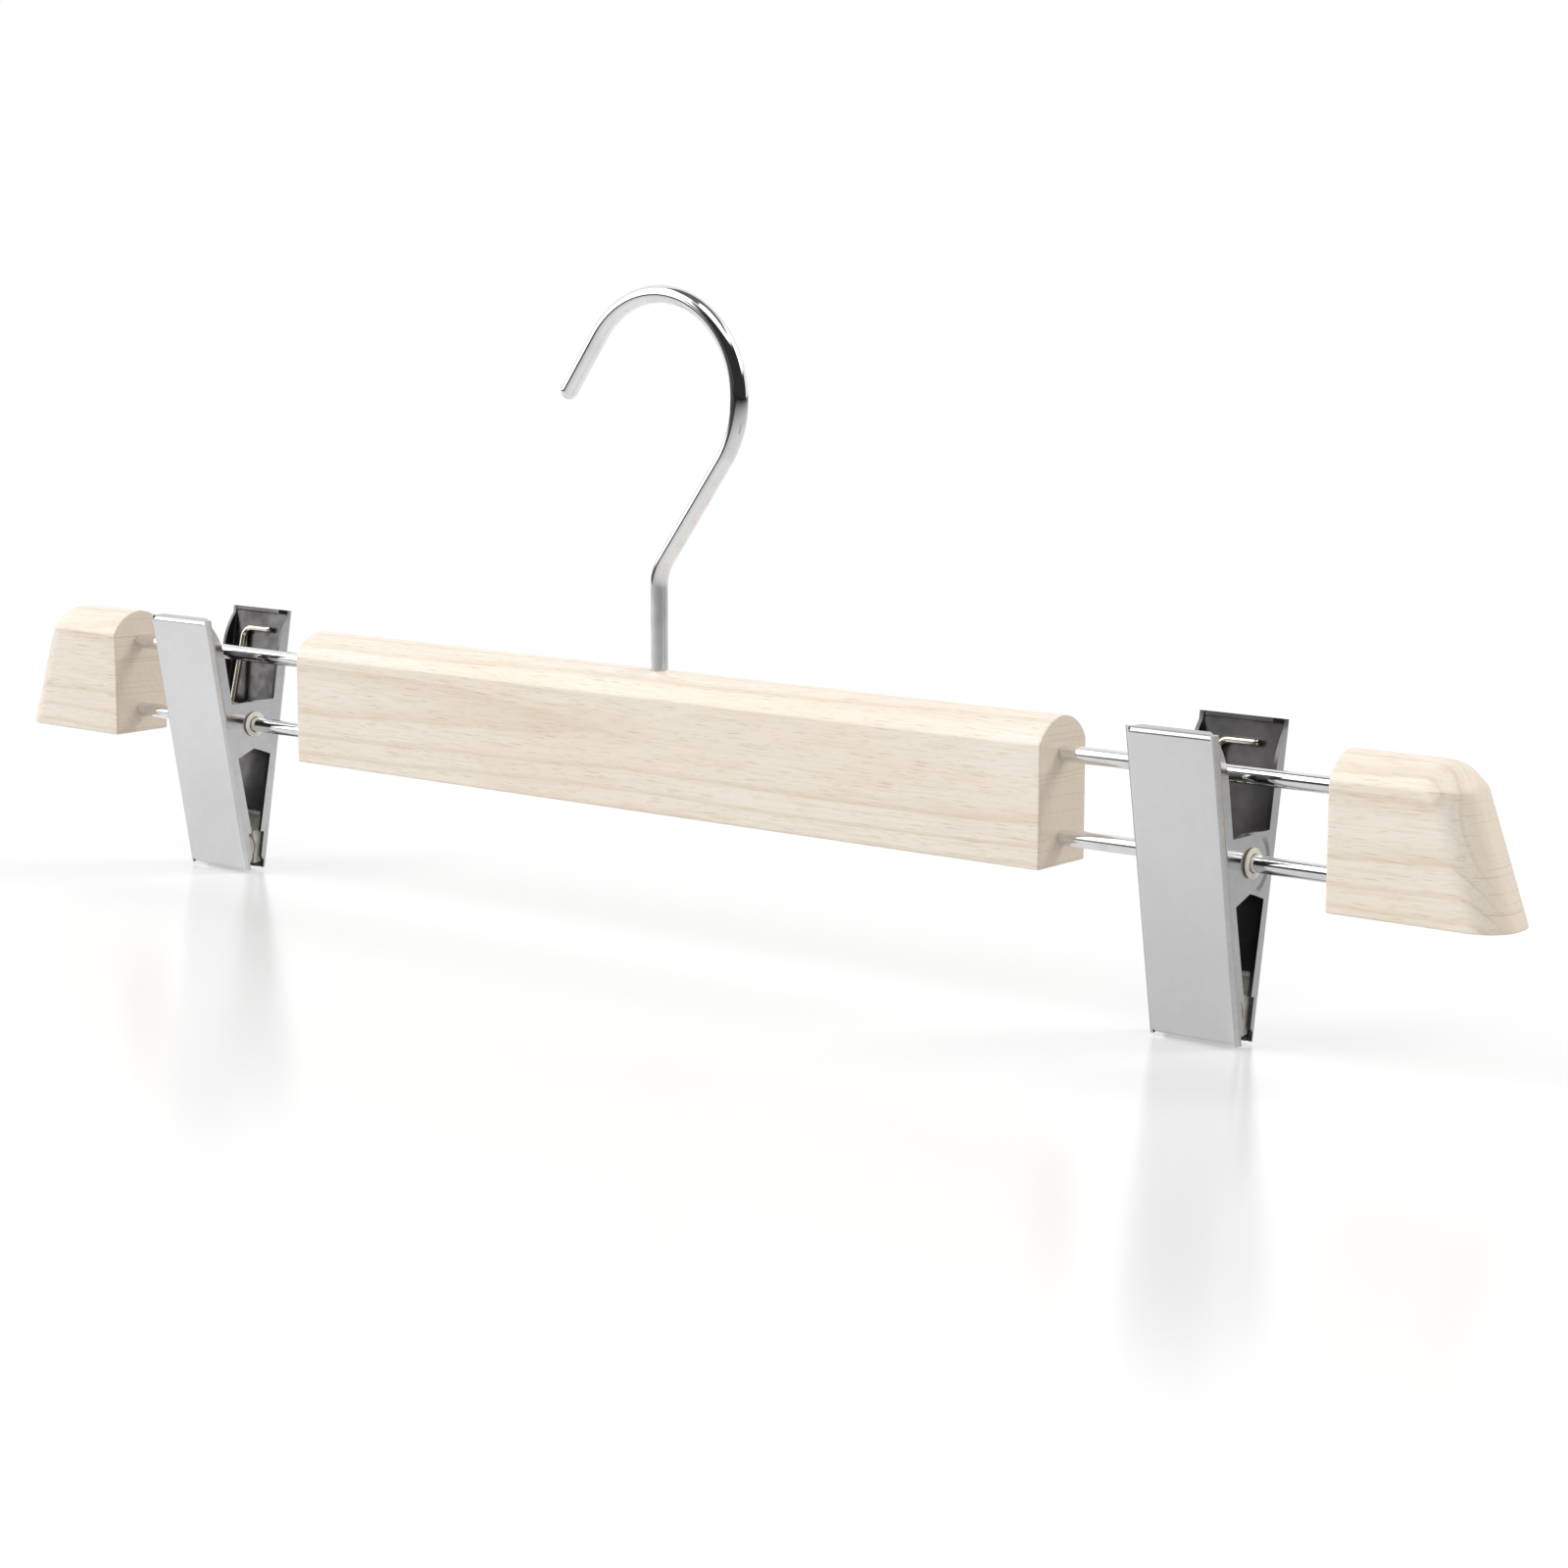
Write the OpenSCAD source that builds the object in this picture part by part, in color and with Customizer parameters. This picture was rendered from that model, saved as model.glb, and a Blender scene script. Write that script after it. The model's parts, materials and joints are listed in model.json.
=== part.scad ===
// Skirt hanger: a wooden bar on a swivelling wire hook, two end blocks on paired rods,
// and a sprung sheet-metal clip that slides along each pair of rods.
// Millimetres. +X runs along the bar, -Y is the front, +Z is up.
// The origin is the underside of the hook's crown, above the stem, where a rail carries it.

/* [Wood] */
// Length of the centre bar
bar_len = 196.6; // [150:0.2:240]
// Thickness of the bar and the end blocks, front to back
bar_t = 15; // [13:0.5:18]
// Height of the bar and the end blocks
bar_h = 28; // [26:0.5:32]
// Rise of the rounded top above the flat sides
arch_rise = 4.9; // [3:0.1:6]
// Length of an end block along its base, to the tip
block_len = 33.6; // [30:0.1:45]
// Slope of an end block's outer end from upright, in degrees
block_slant = 19.7; // [10:0.1:25]
// Radius of an end block's outer end, seen from above
block_plan_r = 6.4; // [4:0.1:6.5]
// Radius of an end block's upper outer corner, seen from the front
block_top_r = 8; // [5:0.5:11]

/* [Rods] */
// Diameter of a rod
rod_d = 3.2; // [2.5:0.1:3.6]
// Bare length of the rods between the bar and an end block
rod_span = 60; // [45:1:90]
// Height of the lower rod's axis above the underside of the wood
rod_low = 5.3; // [4:0.1:7]
// Distance between the axes of the two rods of a pair
rod_rise = 15.7; // [14.5:0.1:17]
// Depth to which a rod is glued into the wood
rod_seat = 14; // [8:0.5:20]

/* [Hook] */
// Diameter of the hook's wire
wire_d = 3.6; // [3:0.1:4.2]
// Height of the crown's underside above the top of the bar
hook_rise = 73; // [66:1:85]
// Radius of the crown, on the wire's centre line
crown_r = 20.1; // [18:0.1:22]
// Distance of the crown's centre from the stem's axis
crown_shift = 0.8; // [0:0.1:2]
// Lean of the neck's straight stretch from upright, in degrees
neck_lean = 36.5; // [32:0.5:42]
// Radius of the bend above the stem, on the centre line
neck_r = 9.5; // [6:0.5:12]
// Straight length of the open end, past the crown
tail_len = 15.6; // [5:0.1:18]
// Lean of the open end from upright, in degrees
tail_lean = 36; // [20:1:50]
// Chamfer at the open end
tail_chamfer = 0.8; // [0.3:0.1:1.1]
// Diameter of the peened head that holds the stem in the bar
head_d = 6; // [5:0.1:7]
// Thickness of the peened head
head_t = 1.6; // [1:0.1:2.2]
// Outer diameter of the washer above the head
washer_d = 8.4; // [7.6:0.1:9]
// Thickness of the washer
washer_t = 1; // [0.6:0.1:1.4]
// Depth of the recess under the bar that hides the head
recess_depth = 7; // [5:0.5:10]

/* [Clips] */
// Distance of the right clip outwards from the middle of its rods
right_clip_shift = 1.1; // [-4:0.1:4]
// Distance of the left clip outwards from the middle of its rods
left_clip_shift = 1.7; // [-4:0.1:4]
// Width of a clip's front jaw over its ears
front_w = 19.1; // [18:0.1:22]
// How much narrower the back jaw is than the front jaw
back_inset_w = 0.5; // [0:0.1:1]
// Thickness of the jaws' sheet metal
sheet_t = 0.8; // [0.6:0.05:1]
// Outer radius of the bends in the sheet
bend_r = 1.1; // [1.05:0.05:1.5]
// Length of a jaw's plate from its lower edge to the handle's top
plate_len = 58.2; // [55:0.1:64]
// Lean of a jaw's plate from upright when the clip is shut, in degrees
tilt = 9.9; // [8.5:0.1:10.5]
// Height of the pivot up the plate
pivot_up = 32.1; // [30:0.1:34]
// Distance of the pivot inwards from the plate's outer face
pivot_in = 8.65; // [8.2:0.05:9.2]
// Depth of the flanges along the handles
flange_d = 3.3; // [2.4:0.1:3.6]
// Length over which a flange rounds off at the handle's top
flange_round = 9.6; // [6:0.1:10]
// Radius of that rounded edge
flange_round_r = 15.6; // [15:0.1:20]
// Radius of the ears around the pivot
ear_r = 5.1; // [4.6:0.1:5.4]
// Depth of the arms at their upper end, below the ears
arm_d = 2.6; // [2:0.1:3]
// Depth of the arms at their lower end
arm_end_d = 3; // [2.4:0.1:3.2]
// Height up the plate at which the arms start
arm_top = 25.8; // [24:0.1:26.2]
// Height up the plate at which the arms step in beside the pads
arm_end = 8.1; // [6:0.1:10]
// Depth of the low wall beside a pad
pad_wall = 2; // [1.4:0.1:2.2]
// Height up the plate at which that low wall is cut off
foot_top = 2.5; // [2.1:0.1:4]
// Depth of the lip folded in along a handle's top
top_lip = 2.3; // [1.6:0.1:3]
// Depth of the lip folded in along a jaw's lower edge
bottom_lip = 2; // [1.5:0.1:2.2]
// Radius of the round dish pressed into the back jaw's ears
dish_r = 5.6; // [5.5:0.1:5.9]
// Width of the dish's sloping rim
dish_rim_w = 1; // [0.9:0.1:1.2]

/* [Bushes and springs] */
// Diameter of a bush's flange
flange_od = 5.6; // [5:0.1:6.4]
// Thickness of a bush's flange
bush_flange_t = 0.5; // [0.4:0.1:1.2]
// Wall of a bush's sleeve
bush_wall = 0.5; // [0.4:0.05:0.6]
// Diameter of the spring wire
spring_d = 1.4; // [1:0.1:1.5]
// Radius of the spring's coil, on the wire's centre line
coil_r = 3.7; // [2.8:0.1:3.8]
// Gap between neighbouring curls of the coil
curl_gap = 0.6; // [0.5:0.05:0.6]
// Full curls between the two legs
curls = 4; // [3:1:4]
// Height above the pivot at which a leg turns along its handle
leg_top = 19.8; // [19:0.1:21.5]
// Length of a leg's turned end, along the handle
leg_foot = 8.5; // [6:0.1:9]
// Radius of a leg's bend, on the centre line
leg_bend_r = 2.2; // [1.2:0.1:2.6]
// Height of a leg's knee above the pivot
knee_up = 3; // [2.5:0.1:3.5]
// Distance of a leg's knee from the clip's middle plane
knee_out = 6.2; // [6:0.1:6.4]

/* [Pads] */
// Width of a pad
pad_w = 16.4; // [14:0.1:16.6]
// Height of a pad's grip
grip_h = 7.4; // [6:0.1:8]
// Height of the thin tongue above a grip
tongue_h = 3.8; // [2.5:0.1:5]
// Thickness of the tongue
tongue_t = 0.8; // [0.5:0.1:1.2]
// Height and extra thickness of the rib along the tongue's top
rib_h = 0.7; // [0.4:0.1:1]
// Radius of the front pad's bulge and of the hollow that it meets
bulge_r = 3.2; // [2.6:0.1:3.6]
// How far the bulge reaches past the clip's middle plane
bulge_reach = 0.45; // [0.2:0.05:0.6]

/* [Fits] */
// Gap all round a rod that is glued into the wood
glue_gap = 0.05; // [0.02:0.01:0.1]
// Clear depth left at the bottom of a glued hole
hole_end_gap = 0.3; // [0.2:0.05:0.5]
// Running clearance, on the radius, of the shafts, bushes and hook
running_gap = 0.08; // [0.05:0.01:0.1]
// Play along an axis between pieces that turn or slide on each other
end_play = 0.15; // [0.1:0.05:0.3]
// Gap between the overlapping ears of the two jaws
ear_gap = 0.25; // [0.2:0.05:0.35]
// Gap between the two pads when the clip is shut
pad_gap = 0.3; // [0.25:0.05:0.5]
// Gap between a pad or a spring leg and the sheet that carries it
seat_gap = 0.1; // [0.05:0.05:0.2]

/* [Hidden] */

// Facets of the round faces, and of the small round edges
round_fn = 96;
small_fn = 48;
// Overrun of the cuts
over = 1;
// Length and height of the fine ridge left where two stretches of the hook's wire join
seam_len = 0.2;
seam_h = 0.01;

// Wood
wood_color = [0.9, 0.84, 0.76];
bar_bottom = -hook_rise - bar_h;
arch_r = (pow(bar_t / 2, 2) + pow(arch_rise, 2)) / (2 * arch_rise);
hole_r = rod_d / 2 + glue_gap;
hole_depth = rod_seat + hole_end_gap;

// Rods and clips along the bar
rod_mid = bar_len / 2 + rod_span / 2;
block_x = bar_len / 2 + rod_span;
rod_len = rod_span + 2 * rod_seat;
pivot_z = bar_bottom + rod_low;
rail_z = pivot_z + rod_rise;

// Hook
steel_color = [0.72, 0.72, 0.73];
wire_r = wire_d / 2;
crown_z = -sqrt(pow(crown_r - wire_r, 2) - pow(crown_shift, 2));
neck_x = crown_shift + crown_r * cos(neck_lean);
neck_z = crown_z - crown_r * sin(neck_lean);
corner_z = neck_z - neck_x / tan(neck_lean);
neck_tangent = neck_r * tan(neck_lean / 2);
bend_z = corner_z - neck_tangent;
neck_len = neck_x / sin(neck_lean) - neck_tangent;
recess_top = bar_bottom + recess_depth;
washer_top = recess_top - end_play;
head_top = washer_top - washer_t;
recess_r = washer_d / 2 + running_gap + end_play;

// Clips, in a frame with its origin on the pivot
sheet_color = [0.8, 0.8, 0.81];
back_w = front_w - back_inset_w;
channel_d = pivot_in + 2 * ear_r;
dish_x = front_w / 2 - sheet_t - ear_gap;
// Inset of the lips' mitred ends, as a share of a lip's depth
mitre_share = 1.1;
rod_r = rod_d / 2;
bush_bore_r = rod_r + running_gap;
sleeve_r = bush_bore_r + bush_wall;
ear_hole_r = sleeve_r + running_gap;
sleeve_in = dish_x - sheet_t - end_play;

// Pads
pad_color = [0.62, 0.6, 0.56];
bush_color = [0.82, 0.8, 0.75];
pad_bottom = (bottom_lip - pivot_in) * sin(tilt) + (sheet_t - pivot_up) * cos(tilt) + seat_gap;
grip_top = pad_bottom + grip_h;
tongue_top = grip_top + tongue_h;
bulge_z = pad_bottom + grip_h / 2;
bulge_y = bulge_reach - bulge_r;
// Distance of the front pad's shoulders beside its bulge from the clip's middle plane
pad_base = pad_gap / 2 + (bulge_r - bulge_reach) / 2;

// Springs
spring_color = [0.78, 0.75, 0.66];
spring_r = spring_d / 2;
spring_sides = 6;
curl_rings = 8;
curl_pitch = spring_d + curl_gap;
leg_y = inner_face(leg_top) - seat_gap - spring_r;
leave_angle = atan2(knee_up, knee_out) + asin(coil_r / norm([knee_out, knee_up])) - 90;
coil_sweep = 360 * curls + 180 + 2 * leave_angle;
coil_half = curl_pitch * coil_sweep / 720;
coil_steps = ceil(coil_sweep / 360 * curl_rings);
bend_steps = 4;
// Places along a leg's two straight stretches, as shares, where its path is set down
leg_shares = [0.6, 0.12];

// Distance of a plate's inner face from the clip's middle plane, at a height from the pivot
function inner_face(z) = (pivot_in - sheet_t) / cos(tilt) + z * tan(tilt);

// Lays a flat shape of (y, z) points across X, centred on the middle of its length
module across(length) {
    rotate([90, 0, 90])
        translate([0, 0, -length / 2])
            linear_extrude(length)
                children();
}

module x_cylinder(r, length, fn = round_fn) {
    rotate([0, 90, 0])
        cylinder(r = r, h = length, center = true, $fn = fn);
}

// Cross-section of the bar and the end blocks, standing on its base
module wood_section() {
    intersection() {
        translate([-bar_t / 2, 0])
            square([bar_t, bar_h]);
        union() {
            translate([-bar_t / 2, 0])
                square([bar_t, bar_h - arch_rise]);
            translate([0, bar_h - arch_r])
                circle(arch_r, $fn = round_fn);
        }
    }
}

// The two glued holes for a pair of rods, drilled from the plane x = 0 towards +X
module rod_holes() {
    for (z = [rod_low, rod_low + rod_rise])
        translate([hole_depth / 2, 0, z])
            x_cylinder(hole_r, hole_depth);
}

module centre_bar() {
    color(wood_color)
        difference() {
            translate([0, 0, bar_bottom])
                difference() {
                    across(bar_len)
                        wood_section();
                    for (side = [0, 1])
                        mirror([side, 0, 0])
                            translate([bar_len / 2, 0, 0])
                                mirror([1, 0, 0])
                                    rod_holes();
                }
            translate([0, 0, bar_bottom - over])
                cylinder(r = wire_r + running_gap, h = bar_h + 2 * over, $fn = round_fn);
            translate([0, 0, bar_bottom - over])
                cylinder(r = recess_r, h = recess_depth + over, $fn = round_fn);
        }
}

// Front outline of an end block, with the inner face at x = 0
module block_outline() {
    slant_x = block_len - (bar_h - block_top_r) * tan(block_slant);
    round_x = slant_x - block_top_r / cos(block_slant);
    round_z = bar_h - block_top_r;
    polygon([
        [0, 0],
        [block_len, 0],
        [round_x + block_top_r * cos(block_slant), round_z + block_top_r * sin(block_slant)],
        [round_x, round_z],
        [round_x, bar_h],
        [0, bar_h]
    ]);
    translate([round_x, round_z])
        circle(block_top_r, $fn = round_fn);
}

// Plan of an end block's rounded outer end, with the tip at x = tip
module block_plan(tip) {
    corner_y = bar_t / 2 - block_plan_r;
    translate([-bar_h, -bar_t / 2])
        square([tip - block_plan_r + bar_h, bar_t]);
    translate([0, -corner_y])
        square([tip, 2 * corner_y]);
    for (side = [-1, 1])
        translate([tip - block_plan_r, side * corner_y])
            circle(block_plan_r, $fn = round_fn);
}

module end_block() {
    difference() {
        intersection() {
            translate([block_len / 2, 0, 0])
                across(block_len)
                    wood_section();
            translate([0, bar_t / 2 + over, 0])
                rotate([90, 0, 0])
                    linear_extrude(bar_t + 2 * over)
                        block_outline();
            rotate([0, -block_slant, 0])
                translate([0, 0, -bar_h])
                    linear_extrude(3 * bar_h)
                        block_plan(block_len * cos(block_slant));
        }
        rod_holes();
    }
}

module right_end_block() {
    color(wood_color)
        translate([block_x, 0, bar_bottom])
            end_block();
}

module left_end_block() {
    color(wood_color)
        mirror([1, 0, 0])
            translate([block_x, 0, bar_bottom])
                end_block();
}

module rod(side, z) {
    color(steel_color)
        translate([side * rod_mid, 0, z])
            x_cylinder(rod_r, rod_len);
}

module left_upper_rod() { rod(-1, rail_z); }
module left_lower_rod() { rod(-1, pivot_z); }
module right_upper_rod() { rod(1, rail_z); }
module right_lower_rod() { rod(1, pivot_z); }

// A stretch of bent wire in the XZ plane, round a centre, from one angle through a sweep
module wire_arc(centre_x, centre_z, radius, start, sweep) {
    translate([centre_x, 0, centre_z])
        rotate([90, 0, 0])
            rotate([0, 0, start])
                rotate_extrude(angle = sweep, $fn = round_fn)
                    translate([radius, 0])
                        circle(wire_r, $fn = small_fn);
}

// The fine ridge round a joint of the wire, at a place and a lean from upright
module seam(x, z, lean) {
    translate([x, 0, z])
        rotate([0, lean, 0])
            cylinder(r = wire_r + seam_h, h = seam_len, center = true, $fn = small_fn);
}

module hook() {
    tail_x = crown_shift - crown_r * cos(tail_lean);
    tail_z = crown_z + crown_r * sin(tail_lean);
    color(steel_color) {
        // Stem, with its peened head
        translate([0, 0, head_top - over / 2])
            cylinder(r = wire_r, h = bend_z - head_top + over / 2, $fn = small_fn);
        translate([0, 0, head_top - head_t])
            cylinder(d = head_d, h = head_t, $fn = small_fn);
        seam(0, bend_z, 0);
        wire_arc(neck_r, bend_z, neck_r, 180 - neck_lean, neck_lean);
        seam(neck_r - neck_r * cos(neck_lean), bend_z + neck_r * sin(neck_lean), neck_lean);
        // Straight stretch from the neck's bend up to the crown
        translate([neck_x, 0, neck_z])
            rotate([0, neck_lean + 180, 0])
                cylinder(r = wire_r, h = neck_len, $fn = small_fn);
        seam(neck_x, neck_z, neck_lean);
        wire_arc(crown_shift, crown_z, crown_r, -neck_lean, 180 + neck_lean - tail_lean);
        seam(tail_x, tail_z, tail_lean);
        // Straight open end, with its chamfered tip
        translate([tail_x, 0, tail_z])
            rotate([0, tail_lean + 180, 0])
                rotate_extrude($fn = small_fn)
                    polygon([
                        [0, 0], [wire_r, 0], [wire_r, tail_len - tail_chamfer],
                        [wire_r - tail_chamfer, tail_len], [0, tail_len]
                    ]);
    }
}

module hook_washer() {
    color(steel_color)
        translate([0, 0, head_top])
            difference() {
                cylinder(d = washer_d, h = washer_t, $fn = round_fn);
                translate([0, 0, -over])
                    cylinder(r = wire_r + running_gap, h = washer_t + 2 * over, $fn = round_fn);
            }
}

// Outline of a jaw's sides, in the plate's own frame: depth inwards and height up the plate
module side_outline() {
    pivot = [pivot_in, pivot_up];
    // Where the window's level sill touches the ear, and where it meets the flange
    sill = pivot + ear_r * [sin(tilt), cos(tilt)];
    sill_up = sill[1] + (sill[0] - flange_d) * tan(tilt);
    shoulder = [arm_d, arm_top];
    reach = shoulder - pivot;
    touch = atan2(reach[1], reach[0]) + acos(ear_r / norm(reach));
    round_up = plate_len - flange_round;
    translate([-over, -over])
        square([bend_r + over, plate_len + 2 * over]);
    polygon([
        [0, round_up],
        [flange_d, round_up],
        [flange_d, sill_up],
        sill,
        pivot,
        pivot + ear_r * [cos(touch), sin(touch)],
        shoulder,
        [arm_end_d, arm_end],
        [pad_wall, arm_end],
        [pad_wall, foot_top],
        [bend_r, foot_top - pad_wall + bend_r],
        [0, foot_top - pad_wall + bend_r]
    ]);
    translate(pivot)
        circle(ear_r, $fn = round_fn);
    intersection() {
        translate([flange_d - flange_round_r, round_up])
            circle(flange_round_r, $fn = 2 * round_fn);
        translate([0, round_up])
            square([flange_d, flange_round]);
    }
}

// Outside of a folded channel: a plate along y = 0, rounded into two walls towards +Y
module trough(width, radius, depth) {
    translate([-width / 2 + radius, 0])
        square([width - 2 * radius, depth]);
    translate([-width / 2, radius])
        square([width, depth - radius]);
    for (side = [-1, 1])
        translate([side * (width / 2 - radius), radius])
            circle(radius, $fn = small_fn);
}

// The plate's two folded sides, without the flat plate between them
module sides(width) {
    flat = width / 2 - bend_r;
    linear_extrude(plate_len)
        difference() {
            trough(width, bend_r, channel_d);
            translate([0, sheet_t])
                trough(width - 2 * sheet_t, bend_r - sheet_t, channel_d);
            translate([-flat, -over])
                square([2 * flat, channel_d]);
        }
}

// Side view of the flat plate with the lips folded in at both its ends
module lipped_plate() {
    difference() {
        union() {
            translate([0, bend_r])
                square([sheet_t, plate_len - 2 * bend_r]);
            translate([bend_r, 0])
                square([bottom_lip - bend_r, sheet_t]);
            translate([bend_r, plate_len - sheet_t])
                square([top_lip - bend_r, sheet_t]);
            for (up = [bend_r, plate_len - bend_r])
                translate([bend_r, up])
                    circle(bend_r, $fn = small_fn);
        }
        for (up = [bend_r, plate_len - bend_r])
            translate([bend_r, up])
                circle(bend_r - sheet_t, $fn = small_fn);
        translate([bend_r, sheet_t])
            square([top_lip, plate_len - 2 * sheet_t]);
        translate([sheet_t, bend_r])
            square([top_lip, plate_len - 2 * bend_r]);
    }
}

module plate(width) {
    flat = width / 2 - bend_r;
    lip = max(top_lip, bottom_lip);
    end = flat - mitre_share * (lip - bend_r);
    intersection() {
        across(width)
            lipped_plate();
        translate([0, 0, -over])
            linear_extrude(plate_len + 2 * over)
                polygon([
                    [-flat, -over], [flat, -over], [flat, bend_r], [end, lip],
                    [end, lip + over], [-end, lip + over], [-end, lip], [-flat, bend_r]
                ]);
    }
}

// Places what is drawn in the plate's frame with its pivot on the clip's own
module on_pivot() {
    rotate([tilt, 0, 0])
        translate([0, -pivot_in, -pivot_up])
            children();
}

module ear_bores(width) {
    translate([0, pivot_in, pivot_up])
        x_cylinder(ear_hole_r, width + 2 * over);
}

module front_jaw() {
    on_pivot()
        difference() {
            union() {
                plate(front_w);
                intersection() {
                    sides(front_w);
                    across(front_w + 2 * over)
                        side_outline();
                }
            }
            ear_bores(front_w);
        }
}

// One ear's round dish, which clears the other jaw's ear
module dish() {
    rim_x = back_w / 2;
    rim_r = dish_r + dish_rim_w;
    translate([0, pivot_in, pivot_up])
        rotate([0, 90, 0])
            rotate_extrude($fn = round_fn)
                polygon([
                    [0, dish_x - sheet_t], [dish_r, dish_x - sheet_t], [rim_r, rim_x - sheet_t],
                    [rim_r, rim_x], [dish_r, dish_x], [0, dish_x]
                ]);
}

// The back jaw, drawn on the front side and mirrored where it is used
module back_jaw() {
    on_pivot()
        difference() {
            union() {
                plate(back_w);
                intersection() {
                    union() {
                        difference() {
                            sides(back_w);
                            translate([0, pivot_in, pivot_up])
                                x_cylinder(dish_r + dish_rim_w, back_w + 2 * over);
                        }
                        for (side = [0, 1])
                            mirror([side, 0, 0])
                                dish();
                    }
                    across(back_w + 2 * over)
                        side_outline();
                }
            }
            ear_bores(back_w);
        }
}

// Side outline of a pad's tongue and grip, up to a flat face at a distance from the middle plane
module pad_outline(face_y) {
    back = seat_gap / cos(tilt);
    low_face = -inner_face(pad_bottom) + back;
    grip_face = -inner_face(grip_top) + back;
    rib_face = -inner_face(tongue_top - rib_h) + back;
    top_face = -inner_face(tongue_top) + back;
    polygon([
        [low_face, pad_bottom],
        [top_face, tongue_top],
        [top_face + tongue_t + rib_h, tongue_top],
        [rib_face + tongue_t + rib_h, tongue_top - rib_h],
        [rib_face + tongue_t, tongue_top - rib_h],
        [grip_face + tongue_t, grip_top],
        [face_y, grip_top],
        [face_y, pad_bottom]
    ]);
}

module front_pad() {
    across(pad_w)
        intersection() {
            pad_outline(2 * bulge_r);
            union() {
                translate([-pivot_in, pad_bottom - over])
                    square([pivot_in - pad_base, grip_h + tongue_h + 2 * over]);
                translate([bulge_y, bulge_z])
                    circle(bulge_r, $fn = round_fn);
            }
        }
}

module back_pad() {
    across(pad_w)
        difference() {
            pad_outline(-pad_gap / 2);
            translate([-bulge_y, bulge_z])
                circle(bulge_r + pad_gap, $fn = round_fn);
        }
}

// A flanged bush for the ears on the +X side of a clip
module bush() {
    flange_x = front_w / 2 + end_play;
    rotate([0, 90, 0])
        difference() {
            union() {
                translate([0, 0, flange_x])
                    cylinder(d = flange_od, h = bush_flange_t, $fn = round_fn);
                translate([0, 0, sleeve_in])
                    cylinder(r = sleeve_r, h = flange_x - sleeve_in, $fn = round_fn);
            }
            cylinder(r = bush_bore_r, h = flange_x + bush_flange_t + over, $fn = round_fn);
        }
}

// Centre line of a spring leg: from its free end, round its bend, over its knee, to the coil
function leg_path() =
    let (top = [-coil_half, leg_y, leg_top])
    let (knee = [-coil_half, knee_out, knee_up])
    let (leave = [-coil_half, coil_r * cos(leave_angle), coil_r * sin(leave_angle)])
    let (d = unit(top - knee))
    let (centre = top - d * leg_bend_r + [leg_bend_r, 0, 0])
    concat(
        [top + [leg_foot, 0, 0], top + [leg_foot - spring_d, 0, 0]],
        [for (i = [0 : bend_steps])
            let (a = 90 * i / bend_steps)
            centre + d * leg_bend_r * cos(a) - [leg_bend_r * sin(a), 0, 0]],
        [for (share = leg_shares) knee + d * share * norm(top - knee)],
        [for (share = leg_shares) leave + share * (knee - leave)]
    );

coil_path = [for (i = [0 : coil_steps])
    let (a = leave_angle - coil_sweep * i / coil_steps)
    [-coil_half + 2 * coil_half * i / coil_steps, coil_r * cos(a), coil_r * sin(a)]];

// The second leg is the first one turned half round the Z axis
function turned(points) = [for (i = [len(points) - 1 : -1 : 0]) [-points[i][0], -points[i][1], points[i][2]]];

spring_path = concat(leg_path(), coil_path, turned(leg_path()));

function unit(v) = v / norm(v);
function tangent(path, i) =
    unit(path[min(i + 1, len(path) - 1)] - path[max(i - 1, 0)]);
function carried(n, t) = unit(n - t * (n * t));

// One unbroken tube along a path, its rings carried along without twist
module tube(path, radius, sides) {
    last = len(path) - 1;
    tangents = [for (i = [0 : last]) tangent(path, i)];
    normals = [for (i = 0, n = carried([0, 0, 1], tangents[0]); i <= last;
        i = i + 1, n = i <= last ? carried(n, tangents[i]) : n) n];
    points = [for (i = [0 : last]) for (k = [0 : sides - 1])
        let (a = 360 * k / sides)
        path[i] + radius * (cos(a) * normals[i] + sin(a) * cross(tangents[i], normals[i]))];
    walls = [for (i = [0 : last - 1]) for (k = [0 : sides - 1])
        let (a = i * sides + k)
        let (b = i * sides + (k + 1) % sides)
        each [[a, a + sides, b], [b, a + sides, b + sides]]];
    caps = [for (k = [1 : sides - 2]) each [[0, k, k + 1],
        [last * sides, last * sides + k + 1, last * sides + k]]];
    polyhedron(points = points, faces = concat(walls, caps), convexity = 10);
}

// Least gap between two stretches of the spring's wire that aren't next to each other
apart = curl_rings / 2;
spring_gap = min([for (i = [0 : len(spring_path) - 1 - apart]) for (j = [i + apart : len(spring_path) - 1])
    norm(spring_path[i] - spring_path[j])]) - spring_d;
echo(spring_gap_mm = spring_gap);

module spring() {
    color(spring_color)
        tube(spring_path, spring_r, spring_sides);
}

// Moves a clip's piece from the pivot's frame to its place on the left or right pair of rods
module at_clip(side) {
    shift = side < 0 ? left_clip_shift : right_clip_shift;
    translate([side * (rod_mid + shift), 0, pivot_z])
        children();
}

module clip_front_jaw(side) {
    color(sheet_color)
        at_clip(side)
            front_jaw();
}

module clip_back_jaw(side) {
    color(sheet_color)
        at_clip(side)
            mirror([0, 1, 0])
                back_jaw();
}

module clip_front_pad(side) {
    color(pad_color)
        at_clip(side)
            front_pad();
}

module clip_back_pad(side) {
    color(pad_color)
        at_clip(side)
            mirror([0, 1, 0])
                back_pad();
}

// The inner bush faces the bar, and the outer one faces the end block
module clip_bush(side, outward) {
    color(bush_color)
        at_clip(side)
            mirror([side * outward < 0 ? 1 : 0, 0, 0])
                bush();
}

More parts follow.
